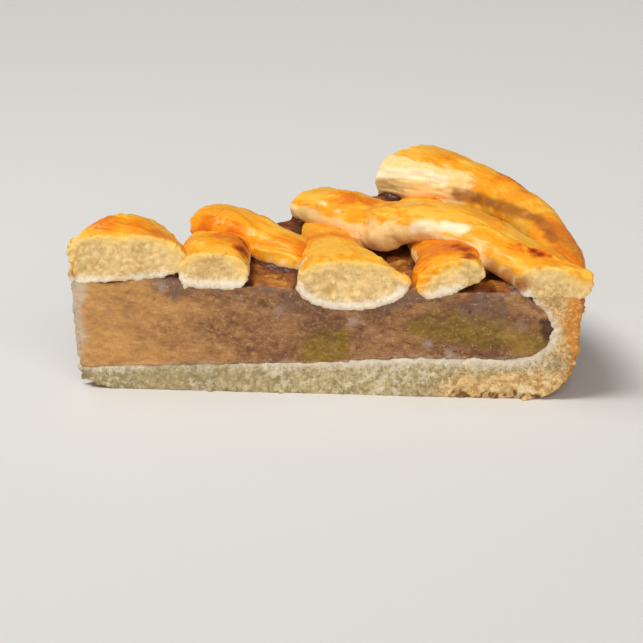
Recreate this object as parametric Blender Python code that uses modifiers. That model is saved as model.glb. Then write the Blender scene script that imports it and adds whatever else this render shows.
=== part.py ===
"""Slice of lattice apple pie: an eighth of a round tin pie, cut from its centre to its rim.

The shapes are worked out in the pie's own frame. Its centre is the point of the slice, the near cut runs
along +X, and the far cut is turned from it by SLICE_ANGLE towards +Y. The empty "pie_centre" then carries the
slice to the world's origin, which lies on the underside of the base, below the middle of the slice.
Lengths are given in millimetres, angles in degrees, and to_metres() makes them metres.
"""

import math
from collections import namedtuple

import bmesh
import bpy
from mathutils import Vector, noise

SLICE_ANGLE = 45.0
PIE_RADIUS = 130.0
REST_POINT = (80.3, 32.0, 0.0)
POINT_RADIUS_NEAR = 2.4
POINT_RADIUS_FAR = 1.3
GAP = 0.3

BASE_AT_POINT = 5.6
BASE_AT_RIM = 10.2
WALL_TOP_NEAR = 26.3
WALL_TOP_FAR = 32.5
WALL_TOP_INNER_RADIUS = 117.3
WALL_HOLLOW_RADIUS = 123.1
WALL_HOLLOW_HEIGHT = 18.5
BOTTOM_ROUNDING = 10.0

FILLING_HEIGHT = 27.3
FILLING_RISE = 0.1
FILLING_BUMP = 0.9
FILLING_BUMP_LENGTH = 14.0
POINT_HEAP_HEIGHT = 3.6
POINT_HEAP_RADIUS = 15.0
POINT_HEAP_X = 24.0
POINT_HEAP_Y = 8.0
WINDOW_DIP_DEPTH = 3.0
WINDOW_DIP_RADIUS = 17.0
WINDOW_DIP_X = 76.5
WINDOW_DIP_Y = 31.0

SECTION_ANGLES = [SLICE_ANGLE * step / 12 for step in range(13)]
FILLING_RADII = [6.0 + 6.1 * step for step in range(19)]
SMOOTHING_LEVELS = 1

# One cross-section of a strip of dough: its middle, the height of its underside, its width and thickness,
# the roll that lifts its left edge, and how far the middle of its underside sags below the edges.
Station = namedtuple("Station", "x y under width thick roll sag", defaults=(0.0, 0.0))


def to_metres(x, y, z):
    return Vector((x, y, z)) / 1000.0


def polar(radius, angle, height):
    turn = math.radians(angle)
    return to_metres(radius * math.cos(turn), radius * math.sin(turn), height)


def smooth_step(low, high, value):
    share = min(max((value - low) / (high - low), 0.0), 1.0)
    return share * share * (3.0 - 2.0 * share)


def between(start, end, share):
    return start + (end - start) * share


def clear_scene():
    for old in list(bpy.data.objects):
        bpy.data.objects.remove(old, do_unlink=True)


def new_collection(name):
    collection = bpy.data.collections.new(name)
    bpy.context.scene.collection.children.link(collection)
    return collection


def pastry_material(name, colour, roughness):
    material = bpy.data.materials.new(name)
    material.use_nodes = True
    shader = material.node_tree.nodes["Principled BSDF"]
    shader.inputs["Base Color"].default_value = (*colour, 1.0)
    shader.inputs["Roughness"].default_value = roughness
    shader.inputs["Metallic"].default_value = 0.0
    return material


def add_object(name, bm, collection, centre, material=None):
    """Close the mesh in bm, turn its faces outwards and hang it on the pie's centre."""
    bmesh.ops.recalc_face_normals(bm, faces=bm.faces)
    mesh = bpy.data.meshes.new(name)
    bm.to_mesh(mesh)
    bm.free()
    mesh.shade_smooth()
    mesh.set_sharp_from_angle(angle=math.radians(50.0))
    body = bpy.data.objects.new(name, mesh)
    collection.objects.link(body)
    body.parent = centre
    if material:
        mesh.materials.append(material)
    return body


def make_cutter(body):
    body.hide_render = True
    body.display_type = "WIRE"
    return body


def loft(sections):
    """A closed solid through sections that all have the same number of points."""
    bm = bmesh.new()
    rings = [[bm.verts.new(point) for point in section] for section in sections]
    for ring, following in zip(rings, rings[1:]):
        for index in range(len(ring)):
            after = (index + 1) % len(ring)
            bm.faces.new((ring[index], ring[after], following[after], following[index]))
    bm.faces.new(reversed(rings[0]))
    bm.faces.new(rings[-1])
    return bm


def add_boolean(body, cutter, operation, solver="EXACT"):
    """Neighbours that graze each other need the MANIFOLD solver, because EXACT turns such cuts inside out."""
    modifier = body.modifiers.new(f"{operation.lower()} {cutter.name}", "BOOLEAN")
    modifier.operation = operation
    modifier.solver = solver
    modifier.object = cutter


def wedge_cutter(collection, centre):
    """The knife's two cuts as one prism; what lies outside it isn't in the slice."""
    outer_radius, low, high = 170.0, -20.0, 90.0
    corners = [
        (POINT_RADIUS_NEAR, 0.0),
        (outer_radius, 0.0),
        (outer_radius, SLICE_ANGLE),
        (POINT_RADIUS_FAR, SLICE_ANGLE),
    ]
    sections = [[polar(radius, angle, height) for radius, angle in corners] for height in (low, high)]
    return make_cutter(add_object("slice_wedge", loft(sections), collection, centre))


def point_radius(angle):
    """The slice's point is blunt: a narrow flat joins the two cuts there."""
    return between(POINT_RADIUS_NEAR, POINT_RADIUS_FAR, angle / SLICE_ANGLE)


def wall_top(angle):
    return between(WALL_TOP_NEAR, WALL_TOP_FAR, smooth_step(0.0, SLICE_ANGLE, angle))


def rim_bulge(angle):
    """The outer side isn't quite round, because the dough was pressed into the tin by hand."""
    turn = math.radians(angle)
    return 0.5 * math.sin(9.0 * turn) + 0.3 * math.sin(23.0 * turn)


def inner_line(angle, gap):
    """Inner side of the crust as (radius, height), from the point to the top of the wall."""
    top = wall_top(angle) + gap
    middle = between(BASE_AT_POINT, BASE_AT_RIM, 0.55)
    return [
        (point_radius(angle) + 1.8, BASE_AT_POINT + gap),
        (60.0, middle + gap),
        (90.0, BASE_AT_RIM + gap),
        (111.5, BASE_AT_RIM + gap),
        (118.0 - 0.5 * gap, 11.4 + gap),
        (121.6 - 0.7 * gap, 14.2 + 0.7 * gap),
        (WALL_HOLLOW_RADIUS - gap, WALL_HOLLOW_HEIGHT),
        (121.5 - gap, 22.6),
        (WALL_TOP_INNER_RADIUS - gap, top),
    ]


def crust_section(angle, grow):
    """Base and wall in one outline, from the point along the underside and up the outer wall."""
    bulge = rim_bulge(angle)
    lower_corner = PIE_RADIUS - 13.0
    point = point_radius(angle) + 1.6
    outer = [(point - grow, 4.6), (point + 1.8, 1.6), (point + 6.4, -grow), (60.0, -grow), (lower_corner, -grow)]
    for share in (0.35, 0.7, 1.0):
        turn = math.radians(90.0 * share)
        radius = lower_corner + (11.4 + bulge) * math.sin(turn)
        outer.append((radius + grow, BOTTOM_ROUNDING * (1.0 - math.cos(turn)) - grow * (1.0 - share)))
    outer.append((PIE_RADIUS - 0.8 + bulge + grow, 17.0))
    outer.append((PIE_RADIUS + 0.2 + bulge + grow, wall_top(angle) + grow))
    return [polar(radius, angle, height) for radius, height in outer + inner_line(angle, grow)[::-1]]


def crust_mesh(grow=0.0):
    return loft([crust_section(angle, grow) for angle in SECTION_ANGLES])


def filling_height(radius, angle):
    """The filling rises towards the rim, with a heap by the point and a dip under the long strip."""
    turn = math.radians(angle)
    x, y = radius * math.cos(turn), radius * math.sin(turn)
    bump = noise.noise(Vector((x, y, 0.0)) / FILLING_BUMP_LENGTH) * FILLING_BUMP
    bump += noise.noise(Vector((y, x, 9.0)) * 2.0 / FILLING_BUMP_LENGTH) * FILLING_BUMP * 0.5
    from_heap = math.hypot(x - POINT_HEAP_X, y - POINT_HEAP_Y)
    from_dip = math.hypot(x - WINDOW_DIP_X, y - WINDOW_DIP_Y)
    heap = POINT_HEAP_HEIGHT * (1.0 - smooth_step(3.0, POINT_HEAP_RADIUS, from_heap))
    dip = WINDOW_DIP_DEPTH * (1.0 - smooth_step(3.0, WINDOW_DIP_RADIUS, from_dip))
    return FILLING_HEIGHT + FILLING_RISE * y + bump + heap - dip


def filling_section(angle):
    outline = inner_line(angle, GAP)
    wall_radius, wall_height = outline.pop()
    wall_radius -= 2.0 * GAP
    outline.append((wall_radius, min(wall_height, filling_height(wall_radius, angle) - 1.0)))
    for radius in reversed(FILLING_RADII):
        outline.append((radius, filling_height(radius, angle)))
    outline.append((point_radius(angle), filling_height(point_radius(angle), angle)))
    return [polar(radius, angle, height) for radius, height in outline]


def filling_mesh():
    return loft([filling_section(angle) for angle in SECTION_ANGLES])


def strip_ring(station, tangent, grow, lengthening):
    """Ten cage points round a strip: flat below, rounded at the sides and domed on top."""
    half = station.width / 2.0 + grow
    under = station.under - grow
    thick = station.thick + 2.0 * grow
    left_side = [
        (-0.42, -station.sag),
        (-0.93, 0.04 * thick),
        (-1.03, 0.47 * thick),
        (-0.84, 0.88 * thick),
        (-0.34, 1.03 * thick),
    ]
    right_side = [(-across, above) for across, above in reversed(left_side)]
    roll = math.radians(station.roll)
    left = Vector((-tangent.y, tangent.x, 0.0))
    middle = Vector((station.x, station.y, under + thick / 2.0)) + tangent * lengthening
    ring = []
    for across, above in left_side + right_side:
        across *= half
        above -= thick / 2.0
        turned_across = across * math.cos(roll) - above * math.sin(roll)
        turned_above = across * math.sin(roll) + above * math.cos(roll)
        ring.append((middle + left * turned_across + Vector((0.0, 0.0, turned_above))) / 1000.0)
    return ring


def strip_mesh(stations, grow=0.0):
    """Coarse cage of a strip, which the Subdivision Surface modifier rounds."""
    rings = []
    for index, station in enumerate(stations):
        before = stations[max(index - 1, 0)]
        after = stations[min(index + 1, len(stations) - 1)]
        tangent = Vector((after.x - before.x, after.y - before.y, 0.0)).normalized()
        lengthening = grow * ((station is after) - (station is before))
        rings.append(strip_ring(station, tangent, grow, lengthening))
    return loft(rings)


def tip_strip():
    """Broad chunk across the slice's point, thick at the far cut."""
    return [
        Station(11.9, -9.0, 28.6, 40.0, 10.6, -6.0),
        Station(11.7, 0.5, 28.6, 40.0, 10.8, -6.0),
        Station(10.3, 7.0, 28.6, 38.0, 13.6, 0.0),
        Station(8.3, 14.0, 28.6, 36.0, 14.2, 5.0),
        Station(6.3, 24.0, 28.6, 36.0, 11.6, 5.0),
        Station(5.3, 34.0, 28.6, 36.0, 10.0, 5.0),
    ]


def short_strip():
    """Strip from the far cut that humps over the point strip and ends under the middle strip."""
    return [
        Station(21.3, 40.5, 32.6, 15.5, 7.2),
        Station(29.3, 35.2, 33.2, 15.8, 7.6),
        Station(38.3, 30.6, 33.0, 16.0, 7.8),
        Station(46.3, 26.6, 30.0, 16.0, 8.2),
        Station(54.3, 21.6, 27.6, 16.0, 7.8),
        Station(64.3, 15.4, 26.2, 16.0, 6.6),
    ]


def cross_strip_point():
    """Cross strip nearest the slice's point, cut through at the near side."""
    return [
        Station(37.9, -9.0, 27.4, 17.6, 8.2),
        Station(37.6, 0.0, 27.4, 17.8, 8.4),
        Station(36.9, 9.0, 28.2, 17.8, 9.4),
        Station(36.1, 18.0, 28.6, 17.6, 9.4),
        Station(35.1, 28.0, 27.8, 17.0, 6.4),
        Station(33.1, 52.0, 27.4, 17.0, 5.6),
    ]


def cross_strip_middle():
    """Middle cross strip, spread wide where it is cut and sunk into the filling there."""
    return [
        Station(74.8, -8.0, 24.6, 29.6, 9.2, -4.0, 2.6),
        Station(71.9, 0.0, 25.0, 28.6, 9.6, -4.0, 2.6),
        Station(69.5, 7.0, 25.6, 22.5, 9.8, 0.0, 1.6),
        Station(66.9, 16.0, 27.0, 17.0, 8.6),
        Station(64.7, 27.0, 27.4, 15.4, 7.6),
        Station(62.7, 39.0, 27.0, 15.0, 6.4),
        Station(60.9, 52.0, 27.0, 15.0, 5.8),
        Station(58.6, 74.0, 27.0, 15.0, 5.8),
    ]


def cross_strip_rim():
    """Cross strip nearest the rim: slumped to one side at the near cut, and it ends below the rim strip."""
    return [
        Station(97.7, -9.0, 27.2, 16.4, 7.0, -20.0),
        Station(97.1, 0.0, 27.6, 16.4, 7.4, -20.0),
        Station(96.3, 9.0, 28.6, 17.4, 8.0, -12.0),
        Station(95.1, 20.0, 29.4, 16.0, 7.0, -4.0),
        Station(92.5, 33.0, 28.2, 15.0, 6.0),
        Station(89.5, 48.0, 29.6, 15.0, 6.0),
        Station(86.9, 63.0, 30.4, 15.0, 6.2),
        Station(84.8, 76.0, 29.4, 14.0, 5.0),
    ]


def long_strip():
    """Long strip from the far cut, over the middle and rim cross strips, to the near end of the rim."""
    return [
        Station(49.2, 63.7, 31.8, 14.6, 7.4),
        Station(58.6, 56.4, 32.2, 15.6, 8.6),
        Station(67.8, 47.8, 31.8, 17.4, 9.4),
        Station(76.4, 40.2, 27.8, 19.4, 11.6),
        Station(86.3, 33.6, 34.0, 18.6, 8.8),
        Station(95.8, 26.2, 35.0, 18.8, 8.6),
        Station(105.8, 19.2, 32.0, 18.8, 9.2),
        Station(115.3, 11.6, 28.6, 18.4, 9.0),
        Station(122.9, 3.4, 26.4, 16.4, 8.2, 5.0),
        Station(129.9, -6.0, 26.0, 15.6, 7.2, 7.0),
    ]


def rim_strip():
    """Strip laid on the crust's wall, low beside the near cut and swelling to a thick chunk at the far cut."""
    around = [
        # angle, radius, under, width, thickness, roll
        (1.5, 126.2, 26.6, 11.5, 6.0, -6.0),
        (8.0, 126.6, 27.2, 12.0, 8.8, -10.0),
        (16.0, 126.2, 28.4, 12.4, 10.4, -12.0),
        (24.0, 125.6, 30.0, 13.0, 11.4, -12.0),
        (31.5, 124.2, 31.4, 14.6, 12.0, -10.0),
        (38.0, 121.0, 32.6, 20.0, 12.8, -6.0),
        (44.0, 117.0, 34.2, 28.0, 12.8, -3.0),
        (52.0, 115.8, 34.6, 29.0, 12.6, -2.0),
    ]
    stations = []
    for angle, radius, under, width, thick, roll in around:
        turn = math.radians(angle)
        stations.append(Station(radius * math.cos(turn), radius * math.sin(turn), under, width, thick, roll))
    return stations


def apple_piece(name, middle, size, turn, collection, centre, material, grow=0.0):
    """Chunk of cooked apple with softened corners; middle and size are in millimetres."""
    bm = bmesh.new()
    bmesh.ops.create_cube(bm, size=2.0)
    bmesh.ops.subdivide_edges(bm, edges=bm.edges, cuts=1, use_grid_fill=True)
    for vertex in bm.verts:
        lean = 1.0 + 0.12 * vertex.co.x * vertex.co.z
        scaled = Vector([vertex.co[axis] * (size[axis] / 2.0 + grow) * lean for axis in range(3)])
        scaled.rotate(Vector((0.0, 0.0, 1.0)).rotation_difference(Vector((math.sin(turn), 0.0, math.cos(turn)))))
        vertex.co = (scaled + Vector(middle)) / 1000.0
    piece = add_object(name, bm, collection, centre, material)
    add_smoothing(piece)
    return piece


def add_smoothing(body):
    smoothing = body.modifiers.new("softened by baking", "SUBSURF")
    smoothing.levels = SMOOTHING_LEVELS
    smoothing.render_levels = SMOOTHING_LEVELS


# Each strip with what it gives way to: the strips that pass under or beside it, and the crust's wall.
STRIPS = {
    "tip_strip": (tip_strip, ("cross_strip_point", "short_strip")),
    "cross_strip_point": (cross_strip_point, ()),
    "cross_strip_middle": (cross_strip_middle, ()),
    "cross_strip_rim": (cross_strip_rim, ()),
    "short_strip": (short_strip, ("cross_strip_point", "cross_strip_middle")),
    "long_strip": (long_strip, ("cross_strip_middle", "cross_strip_rim", "crust_shell")),
    "rim_strip": (rim_strip, ("cross_strip_rim", "long_strip", "crust_shell")),
}

# Apple pieces that show at the cuts: middle, size and lean.
APPLE_PIECES = {
    "apple_piece_round": ((66.3, 2.0, 13.4), (15.0, 15.0, 11.5), 0.1),
    "apple_piece_long": ((103.8, 2.0, 18.2), (38.0, 17.0, 13.0), 0.12),
    "apple_piece_far_inner": ((41.5, 40.0, 16.0), (16.0, 13.0, 10.0), -0.15),
    "apple_piece_far_outer": ((72.0, 70.5, 18.5), (20.0, 15.0, 11.5), 0.2),
}


def build_strips(parts, cutters, centre, wedge, dough):
    grown = {"crust_shell": make_cutter(add_object("room_for_crust_shell", crust_mesh(GAP), cutters, centre))}
    for name, (stations, _) in STRIPS.items():
        room = add_object(f"room_for_{name}", strip_mesh(stations(), GAP), cutters, centre)
        add_smoothing(room)
        grown[name] = make_cutter(room)
    for name, (stations, gives_way_to) in STRIPS.items():
        strip = add_object(name, strip_mesh(stations()), parts, centre, dough)
        add_smoothing(strip)
        add_boolean(strip, wedge, "INTERSECT")
        for other in gives_way_to:
            add_boolean(strip, grown[other], "DIFFERENCE", "MANIFOLD")
    return grown


def build_filling(parts, cutters, centre, wedge, grown, compote, apple):
    filling = add_object("apple_filling", filling_mesh(), parts, centre, compote)
    for name in STRIPS:
        add_boolean(filling, grown[name], "DIFFERENCE", "MANIFOLD")
    for name, (middle, size, turn) in APPLE_PIECES.items():
        room = apple_piece(f"room_for_{name}", middle, size, turn, cutters, centre, None, GAP)
        add_boolean(filling, make_cutter(room), "DIFFERENCE", "MANIFOLD")
        piece = apple_piece(name, middle, size, turn, parts, centre, apple)
        add_boolean(piece, wedge, "INTERSECT")
        add_boolean(piece, grown["crust_shell"], "DIFFERENCE", "MANIFOLD")


def main():
    clear_scene()
    parts = new_collection("lattice_apple_pie_slice")
    cutters = new_collection("cutters")
    centre = bpy.data.objects.new("pie_centre", None)
    parts.objects.link(centre)
    centre.location = -to_metres(*REST_POINT)

    crust = pastry_material("baked crust", (0.74, 0.56, 0.30), 0.8)
    dough = pastry_material("glazed dough", (0.83, 0.45, 0.10), 0.35)
    compote = pastry_material("apple compote", (0.36, 0.20, 0.09), 0.4)
    apple = pastry_material("cooked apple", (0.50, 0.38, 0.12), 0.4)

    add_object("crust_shell", crust_mesh(), parts, centre, crust)
    wedge = wedge_cutter(cutters, centre)
    grown = build_strips(parts, cutters, centre, wedge, dough)
    build_filling(parts, cutters, centre, wedge, grown, compote, apple)


main()
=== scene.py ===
"""The looks of a lattice apple pie slice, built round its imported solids.

Every solid gets a finished surface: a fine skin grown over it, with its crumb, wrinkles, flakes and creases
as real relief, and a material whose glaze, browning and bare dough follow marks kept on that skin.
Points and sizes are in millimetres here, and become metres when a mesh is written.
"""

import math
from collections import namedtuple

import bmesh
import bpy
import numpy as np
from bpy.props import FloatProperty, FloatVectorProperty, IntProperty, PointerProperty
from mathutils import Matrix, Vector
from mathutils.bvhtree import BVHTree


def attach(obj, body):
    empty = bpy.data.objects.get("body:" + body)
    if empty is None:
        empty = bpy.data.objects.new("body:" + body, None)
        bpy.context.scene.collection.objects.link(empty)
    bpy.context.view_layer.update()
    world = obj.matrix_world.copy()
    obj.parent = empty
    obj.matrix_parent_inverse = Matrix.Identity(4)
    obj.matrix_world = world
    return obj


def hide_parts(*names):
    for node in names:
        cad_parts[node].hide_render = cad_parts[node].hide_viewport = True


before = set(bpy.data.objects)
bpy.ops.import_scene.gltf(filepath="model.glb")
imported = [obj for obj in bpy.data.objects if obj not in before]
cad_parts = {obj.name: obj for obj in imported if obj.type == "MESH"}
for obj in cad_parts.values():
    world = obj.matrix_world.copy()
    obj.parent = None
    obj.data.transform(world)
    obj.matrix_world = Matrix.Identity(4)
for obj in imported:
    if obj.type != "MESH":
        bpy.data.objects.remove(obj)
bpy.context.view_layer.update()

bl_info = {
    "name": "Lattice Apple Pie Slice",
    "version": (1, 0, 0),
    "blender": (4, 5, 0),
    "location": "View3D > Sidebar > Pie Slice",
    "description": "Finishes a slice of lattice apple pie over its plain solids",
    "category": "Object",
}

MM = 0.001
BODY = "root"

# The slice's point lies on the whole pie's centre line, and both cuts start there
POINT = np.array((-80.3, -32.0))
CUT_ANGLE = math.radians(45)
PIE_RADIUS = 130.0
RIM_STRIP_RADIUS = PIE_RADIUS * 0.92
FAR_WAY = np.array((-math.sin(CUT_ANGLE), math.cos(CUT_ANGLE), 0), np.float32)
POINT_WAY = np.array((-0.53, -0.85, 0), np.float32)
POINT_FLAT = 2.8

# How far one piece closes up to, marks or dampens the next
SEAM = 0.4
TOUCH_REACH = 2.6
DAMP_REACH = 5.5
BASE_DAMP_REACH = 4.5
NEAR_CUT = 1.5

# A point lies in a cut when its surface looks out of it this much, this many faces of the skin from it
CUT_FACING = 0.5
POINT_FACING = 0.75
CUT_EDGE = 0.9
SOME = 0.05

# The crust's skin has slightly longer faces than the lattice's
CRUST_DETAIL = 1.1

# How far the filling swells under the strips, its coloured patches, and how far cut apple stands out of it
PULP_SWELL = 0.5
PATCH_SIZE = 9
APPLE_PROUD = 0.06

# Crumbs in the dough's cuts; how much rarer large loose crumbs are than small ones, and the dents in them
CRUMB_SIZE = 1.15
MOSTLY_SMALL = 3.0
DENT_SIZE = 0.9
DENT_DEPTH = 0.5

LATTICE = ("tip_strip", "short_strip", "cross_strip_point", "cross_strip_middle", "cross_strip_rim",
           "long_strip", "rim_strip")
APPLE = ("apple_piece_round", "apple_piece_long", "apple_piece_far_inner", "apple_piece_far_outer")
FILLING = ("apple_filling", *APPLE)

Spot = namedtuple("Spot", "x y z size amount")


# Noise and small sums on arrays of points

def cell_hash(cells, seed):
    """A pseudo-random 32-bit number for each whole-numbered cell."""
    x, y, z = (cells[:, axis].astype(np.int64).astype(np.uint32) for axis in range(3))
    mixed = x * np.uint32(0x8DA6B343) ^ y * np.uint32(0xD8163841) ^ z * np.uint32(0xCB1AB31F)
    mixed ^= np.uint32((seed * 0x9E3779B1) & 0xFFFFFFFF)
    mixed ^= mixed >> np.uint32(13)
    mixed *= np.uint32(0x5BD1E995)
    mixed ^= mixed >> np.uint32(15)
    mixed *= np.uint32(0x27D4EB2F)
    mixed ^= mixed >> np.uint32(13)
    return mixed


def hash_vectors(cells, seed):
    """Three numbers from 0 to 1 for each cell."""
    mixed = cell_hash(cells, seed)
    parts = [(mixed >> np.uint32(shift)) & np.uint32(1023) for shift in (0, 10, 20)]
    return np.stack(parts, axis=1).astype(np.float32) / 1023


def gradient_noise(points, size, seed):
    """Smooth noise of about -1 to 1, whose lumps are about size millimetres across."""
    scaled = points / size
    cells = np.floor(scaled)
    inside = (scaled - cells).astype(np.float32)
    fade = inside * inside * inside * (inside * (inside * 6 - 15) + 10)
    total = np.zeros(len(points), np.float32)
    for corner in np.ndindex(2, 2, 2):
        offset = np.array(corner)
        gradient = hash_vectors(cells + offset, seed) * 2 - 1
        weight = np.prod(np.where(offset == 1, fade, 1 - fade), axis=1)
        total += weight * np.sum(gradient * (inside - offset), axis=1)
    return total * 1.6


def fractal(points, size, seed, octaves=3, gain=0.5):
    """Gradient noise with finer and weaker noise on top of it."""
    total = np.zeros(len(points), np.float32)
    amount = 1.0
    for octave in range(octaves):
        total += amount * gradient_noise(points, size / 2 ** octave, seed + octave)
        amount *= gain
    return total


def grains(points, size, seed):
    """Rounded grains about size millimetres across: 1 at a grain's middle, 0 between grains."""
    scaled = points / size
    cells = np.floor(scaled)
    nearest = np.full(len(points), 9.0, np.float32)
    for step in np.ndindex(3, 3, 3):
        neighbour = cells + np.array(step) - 1
        middle = neighbour + hash_vectors(neighbour, seed)
        nearest = np.minimum(nearest, np.sum((scaled - middle) ** 2, axis=1).astype(np.float32))
    return np.clip(1 - np.sqrt(nearest), 0, 1)


def ramp(values, start, end):
    """0 at start, 1 at end, smooth between them."""
    share = np.clip((values - start) / (end - start), 0, 1)
    return share * share * (3 - 2 * share)


def spots(points, places):
    """Soft round marks: the strongest of the places' marks at each point."""
    total = np.zeros(len(points), np.float32)
    for spot in places:
        away = np.sum((points - np.array(spot[:3])) ** 2, axis=1)
        total = np.maximum(total, spot.amount * np.exp(-away / spot.size ** 2))
    return total


def line_nearness(points, path, width):
    """1 on the line through a path's places, fading out over about width millimetres."""
    closest = np.full(len(points), np.inf)
    for start, end in zip(path, path[1:]):
        step = np.subtract(end, start)
        share = np.clip((points - start) @ step / (step @ step), 0, 1)
        closest = np.minimum(closest, np.sum((points - start - share[:, None] * step) ** 2, axis=1))
    return np.exp(-closest / width ** 2)


def along(points, direction, stretch):
    """Points squeezed along a direction, so that noise on them runs that way."""
    way = np.array(direction, float)
    way /= np.linalg.norm(way)
    run = points @ way
    return points - np.outer(run * (1 - 1 / stretch), way)


def near_cut_depth(points):
    """How far points lie inside the near cut."""
    return points[:, 1] - POINT[1]


def far_cut_depth(points):
    """How far points lie inside the far cut."""
    x, y = points[:, 0] - POINT[0], points[:, 1] - POINT[1]
    return x * math.sin(CUT_ANGLE) - y * math.cos(CUT_ANGLE)


def from_point(points):
    """How far points lie from the pie's centre line."""
    return np.hypot(points[:, 0] - POINT[0], points[:, 1] - POINT[1])


def outward(points, ways):
    """1 where the surface faces away from the pie's centre line, -1 where it faces it."""
    return (ways[:, 0] * (points[:, 0] - POINT[0]) + ways[:, 1] * (points[:, 1] - POINT[1])) / from_point(points)


# Solids as the skins and the marks need them

def merged_copy(node):
    """A solid's mesh in metres, with its loose triangles joined."""
    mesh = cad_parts[node].data.copy()
    work = bmesh.new()
    work.from_mesh(mesh)
    bmesh.ops.remove_doubles(work, verts=work.verts, dist=1e-6)
    work.to_mesh(mesh)
    work.free()
    return mesh


def joined_copy(nodes, swell):
    """The meshes of some solids in one, each swollen a little so that their seams close."""
    work = bmesh.new()
    for node in nodes:
        mesh = merged_copy(node)
        first = len(work.verts)
        work.from_mesh(mesh)
        work.verts.ensure_lookup_table()
        work.normal_update()
        swollen = work.verts[first:] if node != nodes[0] else ()
        for vertex in swollen:
            way = vertex.normal.copy()
            depth = vertex.co.y / MM - POINT[1]
            if depth < swell or far_cut_depth(np.array([vertex.co / MM]))[0] < swell:
                way = Vector((0, 0, way.z))
            vertex.co += way * swell * MM
        bpy.data.meshes.remove(mesh)
    joined = bpy.data.meshes.new("joined")
    work.to_mesh(joined)
    work.free()
    return joined


def solid_tree(nodes):
    """One search tree over the faces of some solids, in millimetres."""
    places, faces = [], []
    for node in nodes:
        mesh = merged_copy(node)
        first = len(places)
        places += [vertex.co / MM for vertex in mesh.vertices]
        faces += [[first + index for index in face.vertices] for face in mesh.polygons]
        bpy.data.meshes.remove(mesh)
    return BVHTree.FromPolygons(places, faces)


def nearness(points, nodes, reach, chosen=None):
    """1 where a point touches the given solids, 0 at reach millimetres and beyond."""
    tree = solid_tree(nodes)
    close = np.zeros(len(points), np.float32)
    indices = range(len(points)) if chosen is None else np.flatnonzero(chosen)
    for index in indices:
        distance = tree.find_nearest(Vector(points[index]), reach)[3]
        if distance is not None:
            close[index] = 1 - distance / reach
    return close


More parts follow.
